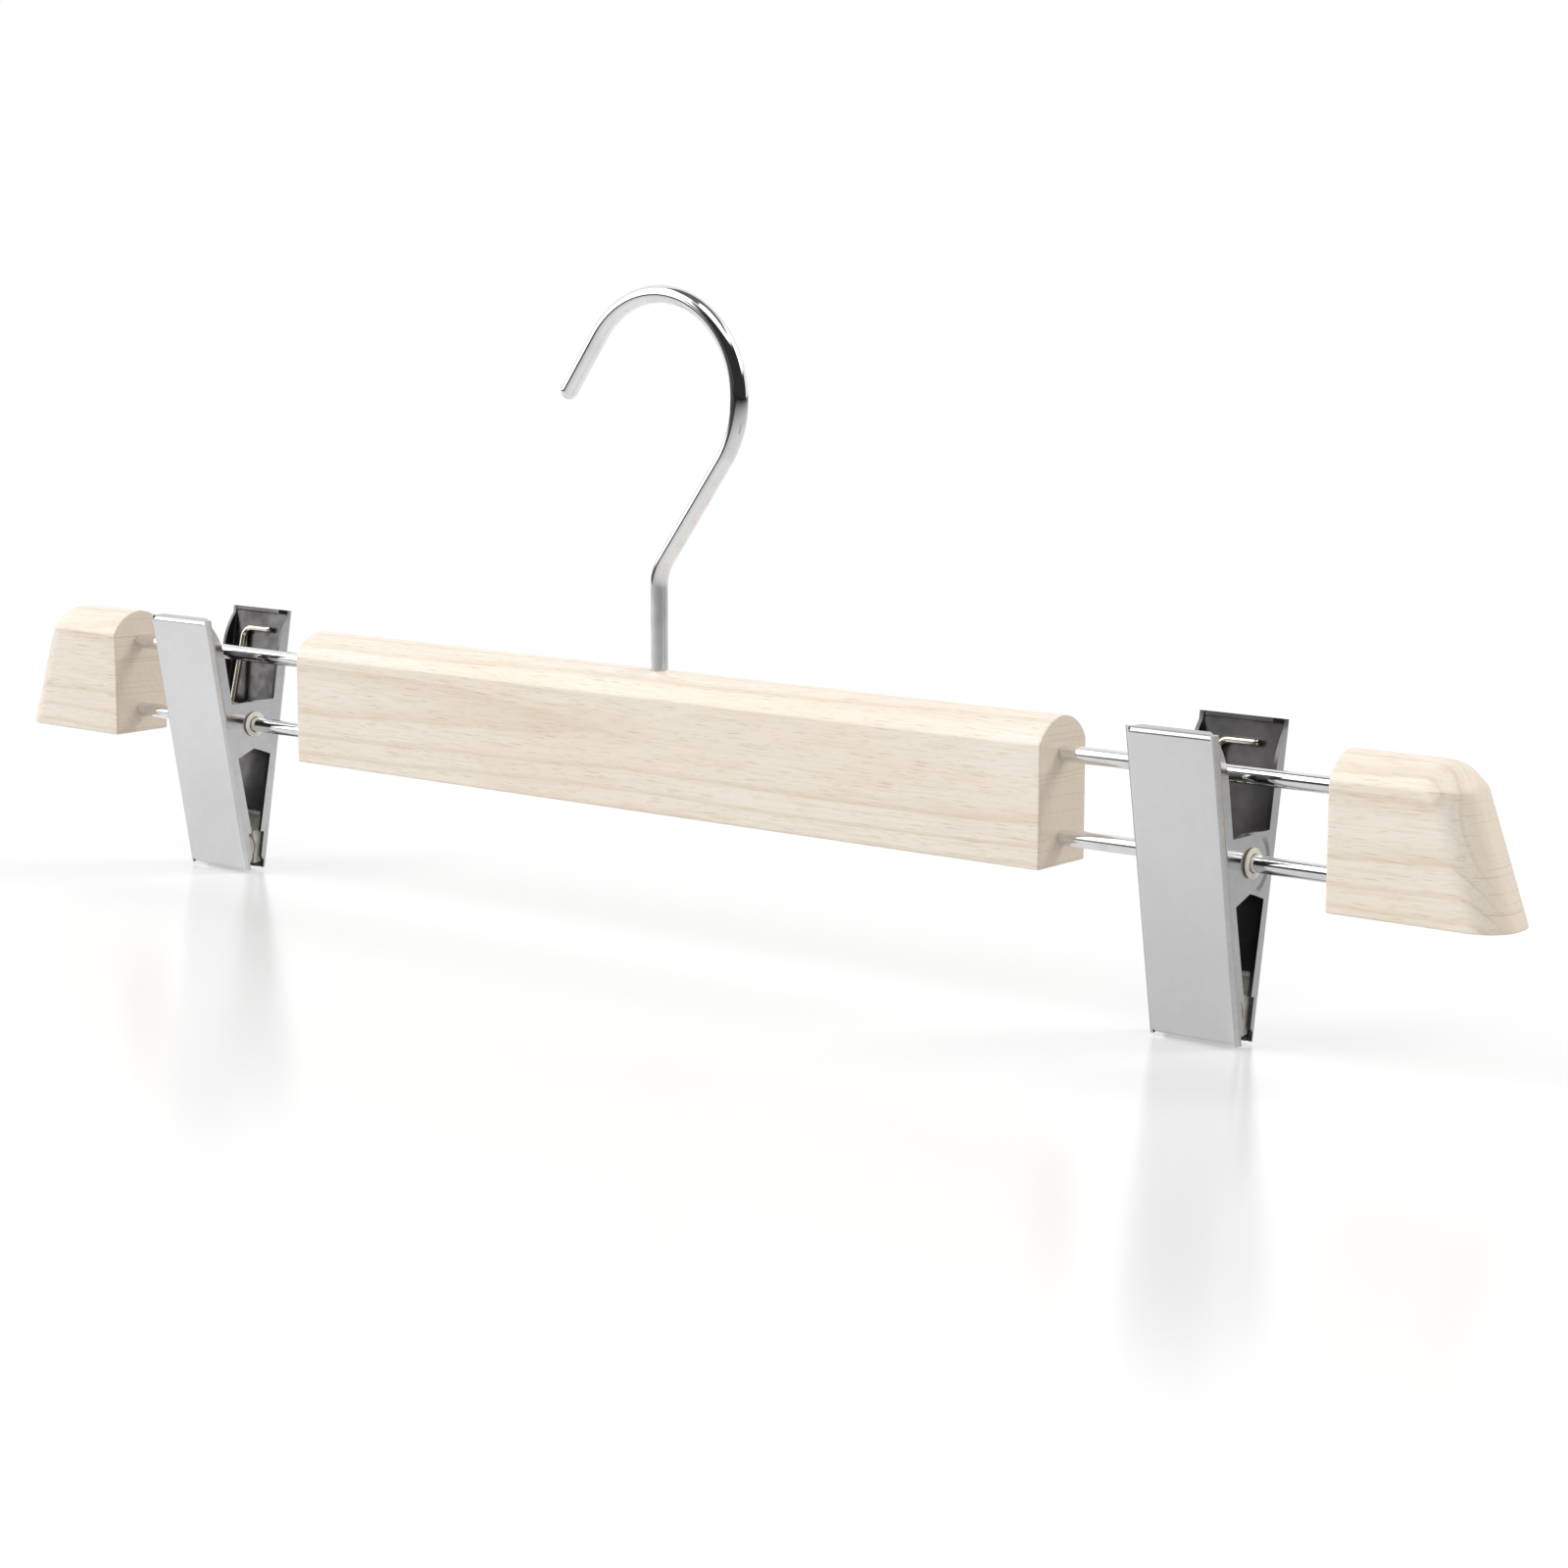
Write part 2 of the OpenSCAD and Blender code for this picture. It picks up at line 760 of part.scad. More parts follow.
module left_front_jaw() { clip_front_jaw(-1); }
module left_back_jaw() { clip_back_jaw(-1); }
module left_front_pad() { clip_front_pad(-1); }
module left_back_pad() { clip_back_pad(-1); }
module left_spring() { at_clip(-1) spring(); }
module left_inner_bush() { clip_bush(-1, -1); }
module left_outer_bush() { clip_bush(-1, 1); }
module right_front_jaw() { clip_front_jaw(1); }
module right_back_jaw() { clip_back_jaw(1); }
module right_front_pad() { clip_front_pad(1); }
module right_back_pad() { clip_back_pad(1); }
module right_spring() { at_clip(1) spring(); }
module right_inner_bush() { clip_bush(1, -1); }
module right_outer_bush() { clip_bush(1, 1); }

centre_bar();
left_end_block();
right_end_block();
left_upper_rod();
left_lower_rod();
right_upper_rod();
right_lower_rod();
hook();
hook_washer();
left_front_jaw();
left_back_jaw();
left_front_pad();
left_back_pad();
left_spring();
left_inner_bush();
left_outer_bush();
right_front_jaw();
right_back_jaw();
right_front_pad();
right_back_pad();
right_spring();
right_inner_bush();
right_outer_bush();
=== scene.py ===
"""Skirt hanger: the looks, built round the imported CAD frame.

A wooden bar with two end blocks on paired rods, a swivelling wire hook, and a
sprung sheet-metal clip on each pair of rods. Sizes in the classes are in
millimetres, and every mesh is turned into metres as it is made.
"""

import json
import logging
import math
from collections.abc import Callable
from dataclasses import dataclass
from enum import Enum

import bmesh
import bpy
import numpy as np
from mathutils import Matrix, Vector

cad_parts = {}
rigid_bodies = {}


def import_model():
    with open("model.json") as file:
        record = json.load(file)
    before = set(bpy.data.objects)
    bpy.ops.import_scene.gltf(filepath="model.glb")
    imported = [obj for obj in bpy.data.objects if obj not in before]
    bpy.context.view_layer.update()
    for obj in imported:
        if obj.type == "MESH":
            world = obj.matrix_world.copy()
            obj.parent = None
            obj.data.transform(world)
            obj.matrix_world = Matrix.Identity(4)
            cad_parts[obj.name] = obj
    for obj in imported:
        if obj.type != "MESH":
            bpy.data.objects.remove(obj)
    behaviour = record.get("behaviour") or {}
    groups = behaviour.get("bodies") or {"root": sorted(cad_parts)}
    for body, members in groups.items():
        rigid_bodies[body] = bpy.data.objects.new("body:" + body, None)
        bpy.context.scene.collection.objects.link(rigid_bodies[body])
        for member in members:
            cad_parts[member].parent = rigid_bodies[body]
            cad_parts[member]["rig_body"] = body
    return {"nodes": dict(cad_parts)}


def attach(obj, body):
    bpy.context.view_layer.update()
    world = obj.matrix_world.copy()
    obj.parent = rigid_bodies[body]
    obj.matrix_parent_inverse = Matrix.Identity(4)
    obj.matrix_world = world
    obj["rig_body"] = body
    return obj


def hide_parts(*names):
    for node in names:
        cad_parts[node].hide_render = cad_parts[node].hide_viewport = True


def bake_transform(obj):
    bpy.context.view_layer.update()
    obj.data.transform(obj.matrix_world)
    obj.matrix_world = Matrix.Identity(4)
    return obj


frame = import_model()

LOG = logging.getLogger("hanger")
MM = 0.001
SHARP = 35.0  # least angle between two faces that keeps their edge sharp, in degrees
CREASE = 32.0  # least angle between two CAD faces whose edge is rounded
LEVEL = 0.4  # greatest angle between CAD faces that are joined into one
SOFT_SHARP = 50.0  # as SHARP, on pieces whose edges are rounded and on bent wire
TIP_SHARP = 60.0  # as SHARP, on the springs
TURNED_SIDES = 64  # sides of rods, bushes, washer and bore
Colour = tuple[float, float, float, float]
Point = tuple[float, float]
Face = tuple[int, ...]
Body = tuple[np.ndarray, list[Face]]


class Named(Enum):
    """Options that stand in the pieces' names."""

    @property
    def word(self) -> str:
        """The option's name in small letters."""
        return self.name.lower()


class Side(Named):
    """The two ends of the hanger, with the sign of X on each."""

    LEFT = -1
    RIGHT = 1


class Jaw(Named):
    """The two jaws of a clip, with the sign of Y on which each one's handle leans out."""

    FRONT = -1
    BACK = 1


def tone(red: float, green: float, blue: float) -> Colour:
    """Turns an everyday 0 to 255 colour into a linear one.

    Args:
        red: Share of red, 0 to 255.
        green: Share of green, 0 to 255.
        blue: Share of blue, 0 to 255.

    Returns:
        The linear colour with full alpha.
    """
    parts = [value / 255 for value in (red, green, blue)]
    linear = [p / 12.92 if p <= 0.04045 else ((p + 0.055) / 1.055) ** 2.4 for p in parts]
    return (linear[0], linear[1], linear[2], 1.0)


def grey(level: float) -> Colour:
    """A grey of one linear level."""
    return (level, level, level, 1.0)


# ---- shader graphs


Operator = Callable[["Wire", "Wire | float"], "Wire"]


def both_ways(operation: str) -> tuple[Operator, Operator]:
    """Makes the two methods behind one of Python's signs.

    Args:
        operation: The Math node's operation.

    Returns:
        The plain method, and the reflected one for a number in front.
    """
    def plain(wire: "Wire", other: "Wire | float") -> "Wire":
        """The wire's own value first."""
        return wire.graph.maths(operation, wire, other)

    def reflected(wire: "Wire", other: float) -> "Wire":
        """The other value first."""
        return wire.graph.maths(operation, other, wire)

    return plain, reflected


class Wire:
    """The output of a shader node, on which Python's own signs add Math nodes."""

    __add__, __radd__ = both_ways("ADD")
    __sub__, __rsub__ = both_ways("SUBTRACT")
    __mul__, __rmul__ = both_ways("MULTIPLY")
    __truediv__, __rtruediv__ = both_ways("DIVIDE")
    __pow__, __rpow__ = both_ways("POWER")

    def __init__(self, graph: "Graph", socket: bpy.types.NodeSocket) -> None:
        """Wraps a socket of a graph."""
        self.graph = graph
        self.socket = socket

    def also(self, output: str) -> "Wire":
        """Another output of the same node."""
        return Wire(self.graph, self.socket.node.outputs[output])

    def ramp(self, low: float, high: float) -> "Wire":
        """Eases from 0 to 1 as the value goes from one level to another.

        Args:
            low: Level at which the result is 0.
            high: Level at which the result is 1. It may be the smaller of the two.

        Returns:
            The eased share.
        """
        turned = low > high
        span = {"Value": self, "From Min": min(low, high), "From Max": max(low, high)}
        eased = self.graph.node("MapRange", {"interpolation_type": "SMOOTHSTEP"}, span)
        return 1.0 - eased if turned else eased


class Graph:
    """A node tree that is filled by expressions."""

    def __init__(self, tree: bpy.types.NodeTree) -> None:
        """Starts with an empty tree."""
        tree.nodes.clear()
        self.tree = tree

    def node(
        self,
        kind: str,
        settings: dict[str, object] | None = None,
        sockets: dict[str | int, object] | None = None,
        output: str | int = 0,
    ) -> Wire:
        """Adds a node.

        Args:
            kind: Blender's name of the node's type, less its leading ShaderNode.
            settings: What is set on the node itself.
            sockets: A value or a Wire for each named or numbered input.
            output: The output that the result wraps.

        Returns:
            The chosen output. It wraps None on a node without outputs.
        """
        made = self.tree.nodes.new("ShaderNode" + kind)
        for name, value in (settings or {}).items():
            setattr(made, name, value)
        for key, value in (sockets or {}).items():
            if isinstance(value, Wire):
                self.tree.links.new(value.socket, made.inputs[key])
            else:
                made.inputs[key].default_value = value
        return Wire(self, made.outputs[output] if made.outputs else None)

    def maths(self, operation: str, *values: "Wire | float") -> Wire:
        """A Math node on the given values."""
        return self.node("Math", {"operation": operation}, dict(enumerate(values)))

    def mix(self, share: "Wire | float", first: object, second: object) -> Wire:
        """Mixes two colours.

        Args:
            share: How much of the second colour shows.
            first: Colour at share 0.
            second: Colour at share 1.

        Returns:
            The mixed colour.
        """
        return self.node("Mix", {"data_type": "RGBA"}, {0: share, 6: first, 7: second}, 2)

    def place(self) -> Wire:
        """The surface's place in the object's own frame, in millimetres."""
        where = self.node("TexCoord", output="Object")
        return self.scaled(where, (1 / MM, 1 / MM, 1 / MM))

    def scaled(self, vector: Wire, factors: tuple[float, float, float]) -> Wire:
        """A vector with each part multiplied by its own factor."""
        return self.node("VectorMath", {"operation": "MULTIPLY"}, {0: vector, 1: factors})

    def split(self, vector: Wire) -> tuple[Wire, Wire, Wire]:
        """The three parts of a vector."""
        x = self.node("SeparateXYZ", None, {0: vector})
        return x, x.also("Y"), x.also("Z")

    def blend(self, share: Wire, first: Wire, second: Wire) -> Wire:
        """Mixes two shaders, of which the second shows at share 1."""
        return self.node("MixShader", None, {0: share, 1: first, 2: second})

    def lit(self, strength: float) -> Wire:
        """A shader that gives white light of its own."""
        return self.node("Emission", None, {"Color": grey(1.0), "Strength": strength})

    def noise(self, vector: Wire, scale: float, detail: float = 2.0) -> Wire:
        """Smooth noise.

        Args:
            vector: Where it is read.
            scale: How many waves go into one unit.
            detail: Number of finer layers.

        Returns:
            The noise, round 0.5.
        """
        sockets = {"Vector": vector, "Scale": scale, "Detail": detail}
        return self.node("TexNoise", {"noise_dimensions": "3D"}, sockets)

    def bump(self, height: Wire, depth: float) -> Wire:
        """A normal that follows a height.

        Args:
            height: The height, 0 to 1.
            depth: Depth of the full height, in millimetres.

        Returns:
            The bent normal.
        """
        sockets = {"Height": height, "Distance": depth * MM, "Strength": 1.0}
        return self.node("Bump", None, sockets)

    def surface(self, **sockets: object) -> Wire:
        """A Principled shader with its sockets given by name, spaces written as underscores."""
        named = {key.replace("_", " "): value for key, value in sockets.items()}
        return self.node("BsdfPrincipled", None, named)

    def finish(self, shader: Wire, kind: str = "OutputMaterial") -> None:
        """Joins the finished shader to the tree's output."""
        self.node(kind, None, {"Surface": shader})


# ---- finishes


@dataclass(frozen=True)
class Finish:
    """A named finish that can dress a piece."""

    name: str

    def paint(self, graph: Graph) -> Wire:
        """Builds the shader in an empty graph and returns it."""
        raise NotImplementedError

    def material(self) -> bpy.types.Material:
        """Finds the finish's material, or makes it on first use.

        Returns:
            The material.
        """
        made = bpy.data.materials.get(self.name)
        if made is None:
            made = bpy.data.materials.new(self.name)
            made.use_nodes = True
            graph = Graph(made.node_tree)
            graph.finish(self.paint(graph))
        return made

    def dress(self, piece: bpy.types.Object) -> None:
        """Gives the piece this finish alone."""
        piece.data.materials.clear()
        piece.data.materials.append(self.material())


@dataclass(frozen=True)
class PaleBeech(Finish):
    """Clear-lacquered beech with soft bands and short dark flecks along the grain."""

    light: Colour = tone(243, 234, 221)
    band: Colour = tone(219, 201, 174)
    blush: Colour = tone(239, 224, 205)
    fleck: Colour = tone(196, 168, 136)
    end_grain: Colour = tone(233, 216, 196)
    fleck_length: float = 6.6
    fleck_width: float = 0.42
    ring_width: float = 1.9
    streak_width: float = 0.57
    pith_y: float = 13.1
    pith_z: float = -84.9
    pith_lean: float = 0.0073
    tip_x: float = -24.6
    ring_sway: float = 5.0
    ring_tremble: float = 0.8
    grain_slope: float = 0.014
    grain_sway: float = 1.6
    ring_share: float = 0.55
    fibre_share: float = 0.34
    end_share: float = 0.75
    fleck_share: float = 0.46
    lacquer: float = 0.55
    lacquer_blur: float = 0.24
    pore_depth: float = 0.012
    roughness: float = 0.42

    def rings(self, graph: Graph, place: Wire) -> Wire:
        """Thin late-wood lines about a pith behind the bar, which leans, so that they arch on the front.

        Args:
            graph: The graph in which they are built.
            place: Place in millimetres.

        Returns:
            The share of late wood, 0 to 1.
        """
        wave = graph.noise(graph.scaled(place, (0.011, 0.05, 0.05)), 1.0, 2.0)
        x, y, z = graph.split(place)
        across = y - self.pith_y - (x - self.tip_x) * self.pith_lean
        up = z - self.pith_z + (wave - 0.5) * self.ring_sway
        tremble = (wave.also("Color") - 0.5) * self.ring_tremble
        radius = graph.maths("SQRT", across * across + up * up) + tremble
        turn = graph.maths("FRACT", radius / self.ring_width)
        line = turn.ramp(0.55, 0.93) ** 1.6 * turn.ramp(1.0, 0.94)
        fine = graph.maths("FRACT", radius / self.streak_width)
        return line * 0.75 + fine.ramp(0.3, 0.9) * fine.ramp(1.0, 0.9) * wave.ramp(0.4, 0.62) * 0.35

    def flecks(self, graph: Graph, place: Wire, upwards: Wire) -> Wire:
        """Short thin flecks along the grain, on the upright faces and on the top each in its own plane.

        Args:
            graph: The graph in which they are built.
            place: Place in millimetres.
            upwards: How squarely the surface faces up or down, 0 to 1.

        Returns:
            The share of fleck, 0 to 1.
        """
        sway = graph.noise(graph.scaled(place, (0.03, 0.08, 0.08)), 1.0, 2.0)
        x, y, z = graph.split(place)
        kind = {"feature": "F1", "voronoi_dimensions": "2D"}
        sheets = []
        for across in (z, y):
            lift = across + x * self.grain_slope + sway * self.grain_sway
            shares = []
            for size, rare in ((1.0, 0.25), (1.6, 0.6)):
                cut = {0: x / (self.fleck_length * size), 1: lift / (self.fleck_width * size), 2: 0.0}
                vector = graph.node("CombineXYZ", None, cut)
                sockets = {"Vector": vector, "Scale": 1.0, "Randomness": 1.0}
                cells = graph.node("TexVoronoi", kind, sockets)
                lot = graph.node("SeparateColor", None, {0: cells.also("Color")})
                drawn = (cells / (0.45 + 0.55 * lot)).ramp(0.27, 0.1)
                shares.append(drawn * lot.also("Green").ramp(rare, rare + 0.25))
            sheets.append(graph.maths("MAXIMUM", shares[0] * 0.8, shares[1]))
        upright, level = sheets
        up = upwards.ramp(0.45, 0.75)
        return upright * (1.0 - up) + level * up

    def paint(self, graph: Graph) -> Wire:
        """Builds the lacquered wood.

        Args:
            graph: The empty graph.

        Returns:
            The shader.
        """
        place = graph.place()
        normal = graph.node("TexCoord", output="Normal")
        squarely = graph.node("VectorMath", {"operation": "ABSOLUTE"}, {0: normal})
        lengthwise, _, upwards = graph.split(squarely)
        end = lengthwise.ramp(0.55, 0.9)
        ring = self.rings(graph, place)
        fleck = self.flecks(graph, place, upwards)
        cloud = graph.noise(graph.scaled(place, (0.02, 0.08, 0.08)), 1.0, 2.0)
        fibre = graph.noise(graph.scaled(place, (0.12, 2.6, 2.6)), 1.0, 3.0)
        ground = graph.mix(cloud.ramp(0.35, 0.7) * 0.6, self.light, self.blush)
        bands = ring * self.ring_share + fibre.ramp(0.42, 0.72) * self.fibre_share
        banded = graph.mix(bands, ground, self.band)
        ended = graph.mix(end * self.end_share, banded, self.end_grain)
        colour = graph.mix(fleck * self.fleck_share, ended, self.fleck)
        height = 1.0 - fleck * 0.8 - fibre * 0.25
        return graph.surface(
            Base_Color=colour,
            Roughness=self.roughness + fleck * 0.12 + end * 0.08,
            Specular_IOR_Level=0.45,
            Coat_Weight=self.lacquer,
            Coat_Roughness=self.lacquer_blur,
            Normal=graph.bump(height, self.pore_depth),
        )


@dataclass(frozen=True)
class BrightPlate(Finish):
    """Polished plated steel, with a faint cloud in its gloss."""

    colour: Colour = tone(238, 238, 239)
    shade: Colour = tone(228, 228, 230)
    roughness: float = 0.06
    spread: float = 0.03
    draw_lines: float = 0.0004

    def paint(self, graph: Graph) -> Wire:
        """Builds the plated metal.

        Args:
            graph: The empty graph.

        Returns:
            The shader.
        """
        place = graph.place()
        cloud = graph.noise(graph.scaled(place, (0.25, 0.25, 0.25)), 1.0, 3.0)
        fine = graph.noise(graph.scaled(place, (0.5, 3.0, 3.0)), 1.0, 2.0)
        return graph.surface(
            Base_Color=graph.mix(cloud.ramp(0.4, 0.75), self.colour, self.shade),
            Metallic=1.0,
            Roughness=self.roughness + cloud.ramp(0.35, 0.8) * self.spread,
            Normal=graph.bump(fine, self.draw_lines),
        )


@dataclass(frozen=True)
class PressedSheet(Finish):
    """Polished sheet steel, pressed: hardly mottled, with a little roller's grain."""

    colour: Colour = tone(229, 229, 230)
    shade: Colour = tone(225, 225, 227)
    roughness: float = 0.11
    spread: float = 0.03
    mottle: float = 0.55
    grain: float = 0.0002

    def paint(self, graph: Graph) -> Wire:
        """Builds the pressed metal.

        Args:
            graph: The empty graph.

        Returns:
            The shader.
        """
        place = graph.place()
        mottle = graph.noise(place, self.mottle, 3.0)
        broad = graph.noise(place, 0.1, 2.0)
        rolled = graph.noise(graph.scaled(place, (0.35, 1.6, 0.35)), 1.0, 3.0)
        tint = mottle.ramp(0.35, 0.75) * 0.5 + broad.ramp(0.4, 0.7) * 0.5
        return graph.surface(
            Base_Color=graph.mix(tint, self.colour, self.shade),
            Metallic=1.0,
            Roughness=self.roughness + mottle.ramp(0.3, 0.8) * self.spread,
            Normal=graph.bump(rolled * 0.7 + mottle * 0.3, self.grain),
        )


@dataclass(frozen=True)
class MilkyResin(Finish):
    """Translucent off-white moulded plastic."""

    colour: Colour = tone(235, 231, 220)
    shade: Colour = tone(222, 217, 205)
    roughness: float = 0.32
    body: float = 0.25
    depth: float = 0.0015

    def paint(self, graph: Graph) -> Wire:
        """Builds the moulded plastic.

        Args:
            graph: The empty graph.

        Returns:
            The shader.
        """
        place = graph.place()
        cloud = graph.noise(place, 0.45, 3.0)
        fine = graph.noise(place, 4.0, 2.0)
        return graph.surface(
            Base_Color=graph.mix(cloud.ramp(0.35, 0.7), self.colour, self.shade),
            Roughness=self.roughness + fine.ramp(0.4, 0.8) * 0.08,
            Subsurface_Weight=self.body,
            Subsurface_Scale=self.depth,
            Normal=graph.bump(fine, 0.004),
        )


# ---- mesh making


def linked(name: str, mesh: bpy.types.Mesh, sharp: float) -> bpy.types.Object:
    """Puts a mesh into the scene as a smooth-shaded piece.

    Args:
        name: Name of the piece.
        mesh: Its mesh.
        sharp: Least angle between two faces that stays a sharp edge, in degrees.

    Returns:
        The piece.
    """
    mesh.shade_smooth()
    mesh.set_sharp_from_angle(angle=math.radians(sharp))
    piece = bpy.data.objects.new(name, mesh)
    bpy.context.scene.collection.objects.link(piece)
    return piece


def piece_from(name: str, points: np.ndarray, faces: list[Face], sharp: float = SHARP) -> bpy.types.Object:
    """Makes a smooth-shaded piece with sharp edges where its faces meet steeply.

    Args:
        name: Name of the piece.
        points: Its points, in millimetres.
        faces: The faces, as numbers of points.
        sharp: Least angle between two faces that stays a sharp edge, in degrees.

    Returns:
        The piece, linked to the scene.
    """
    mesh = bpy.data.meshes.new(name)
    mesh.from_pydata((np.asarray(points, float) * MM).tolist(), [], faces)
    mesh.update()
    return linked(name, mesh, sharp)


def stand_in(piece: bpy.types.Object, node: str) -> None:
    """Lets a piece stand for a CAD node, on that node's own body.

    Args:
        piece: The new piece.
        node: The node that it replaces.
    """
    body = frame["nodes"][node]["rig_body"]
    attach(piece, body)
    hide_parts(node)
    LOG.info("%s stands for %s on %s", piece.name, node, body)


def arc(x: float, y: float, radius: float, first: float, last: float, steps: int) -> list[Point]:
    """Points of a circle's arc.

    Args:
        x: First coordinate of the centre.
        y: Second coordinate of the centre.
        radius: The circle's radius.
        first: Angle of the first point, in degrees.
        last: Angle of the last point, in degrees.
        steps: Number of steps between them.

    Returns:
        The points.
    """
    angles = np.radians(np.linspace(first, last, steps + 1))
    return [(x + radius * math.cos(a), y + radius * math.sin(a)) for a in angles]


def straight(first: np.ndarray, last: np.ndarray, steps: int) -> list[np.ndarray]:
    """Points in a straight line, from after the first one up to the last."""
    return [first + (last - first) * share for share in np.linspace(0, 1, steps + 1)[1:]]


def ring_walls(rings: int, sides: int, closed: bool = False) -> list[Face]:
    """Joins each ring of points to the next by faces.

    Args:
        rings: Number of rings.
        sides: Points of a ring.
        closed: Whether the last ring joins the first.

    Returns:
        The faces.
    """
    faces: list[Face] = []
    for i in range(rings if closed else rings - 1):
        a, b = i * sides, (i + 1) % rings * sides
        for k in range(sides):
            m = (k + 1) % sides
            faces.append((a + k, a + m, b + m, b + k))
    return faces


def ring_caps(rings: int, sides: int) -> list[Face]:
    """The flat faces over the first and the last ring."""
    last = (rings - 1) * sides
    return [tuple(range(sides - 1, -1, -1)), tuple(range(last, last + sides))]


def tube(path: np.ndarray, radii: np.ndarray, sides: int) -> Body:
    """A round tube along a path, its rings carried along without twist.

    Args:
        path: Points of the centre line, one a row.
        radii: Radius at each of them.
        sides: Sides of a ring.

    Returns:
        The points and the faces.
    """
    path = np.asarray(path, float)
    count = len(path)
    steps = np.gradient(path, axis=0)
    for i in range(1, count):  # where points coincide, the direction is carried on
        if np.linalg.norm(steps[i]) < 1e-9:
            steps[i] = steps[i - 1]
    tangents = steps / np.linalg.norm(steps, axis=1)[:, None]
    normal = np.array([0.0, 1.0, 0.0]) if abs(tangents[0][1]) < 0.9 else np.array([0.0, 0.0, 1.0])
    angles = np.linspace(0, 2 * math.pi, sides, endpoint=False)
    points = np.zeros((count * sides, 3))
    for i in range(count):
        normal = normal - tangents[i] * (normal @ tangents[i])
        normal = normal / np.linalg.norm(normal)
        side = np.cross(tangents[i], normal)
        ring = np.cos(angles)[:, None] * normal + np.sin(angles)[:, None] * side
        points[i * sides:(i + 1) * sides] = path[i] + radii[i] * ring
    return points, ring_walls(count, sides) + ring_caps(count, sides)


def revolved(profile: list[Point], closed: bool) -> Body:
    """A turned body round the Z axis.

    Args:
        profile: Radius and height of its points, in order.
        closed: Whether the profile's end joins its start, as round a hole.

    Returns:
        The points and the faces.
    """
    angles = np.linspace(0, 2 * math.pi, TURNED_SIDES, endpoint=False)
    points = np.array([
        (radius * math.cos(a), radius * math.sin(a), height)
        for radius, height in profile for a in angles])
    faces = ring_walls(len(profile), TURNED_SIDES, closed)
    return points, faces if closed else faces + ring_caps(len(profile), TURNED_SIDES)


def rounded_rim(inner: float, outer: float, low: float, high: float, edge: float) -> list[Point]:
    """Closed profile of a ring with rounded outer edges.

    Args:
        inner: Inner radius.
        outer: Outer radius.
        low: Lower height.
        high: Upper height.
        edge: Radius of the outer edges.

    Returns:
        Radius and height of the profile's points.
    """
    lower = arc(outer - edge, low + edge, edge, -90, 0, 4)
    upper = arc(outer - edge, high - edge, edge, 0, 90, 4)
    return [(inner, low), *lower, *upper, (inner, high)]


def softened(node: str, name: str, edge: float, steps: int = 2) -> bpy.types.Object:
    """Copies a CAD node's shape with every sharp edge turned into a fine round one.

    Args:
        node: The CAD node.
        name: Name of the new piece.
        edge: Width of the rounded edges, in millimetres.
        steps: Steps of each rounding.

    Returns:
        The piece, linked to the scene.
    """
    shape = bmesh.new()
    shape.from_mesh(frame["nodes"][node].data)
    bmesh.ops.remove_doubles(shape, verts=shape.verts, dist=1e-6)
    bmesh.ops.dissolve_limit(shape, angle_limit=math.radians(LEVEL), verts=shape.verts, edges=shape.edges)
    sharp = [e for e in shape.edges if e.calc_face_angle(0.0) > math.radians(CREASE)]
    bmesh.ops.bevel(
        shape, geom=sharp, offset=edge * MM, offset_type="OFFSET", segments=steps,
        profile=0.5, affect="EDGES", clamp_overlap=True, loop_slide=True)
    mesh = bpy.data.meshes.new(name)
    shape.to_mesh(mesh)
    shape.free()
    piece = linked(name, mesh, SOFT_SHARP)
    weigh = piece.modifiers.new("flat faces", "WEIGHTED_NORMAL")
    weigh.keep_sharp = True
    weigh.weight = 80
    return piece


def settled(piece: bpy.types.Object) -> bpy.types.Mesh:
    """A new mesh of the piece as its modifiers leave it."""
    shown = piece.evaluated_get(bpy.context.evaluated_depsgraph_get())
    return bpy.data.meshes.new_from_object(shown)


def cut_out(piece: bpy.types.Object, points: np.ndarray, faces: list[Face]) -> None:
    """Cuts a body out of a piece for good.

    Args:
        piece: The piece that is cut.
        points: The cutting body's points, in millimetres.
        faces: Its faces.
    """
    cutter = piece_from(piece.name + "_cutter", points, faces)
    cut = piece.modifiers.new("cut", "BOOLEAN")
    cut.operation, cut.solver, cut.object = "DIFFERENCE", "EXACT", cutter
    bpy.context.view_layer.update()
    result = settled(piece)
    piece.modifiers.clear()
    old = piece.data
    piece.data = result
    result.name = piece.name
    bpy.data.objects.remove(cutter)
    bpy.data.meshes.remove(old)
    result.shade_smooth()
    result.set_sharp_from_angle(angle=math.radians(SHARP))


# ---- wood


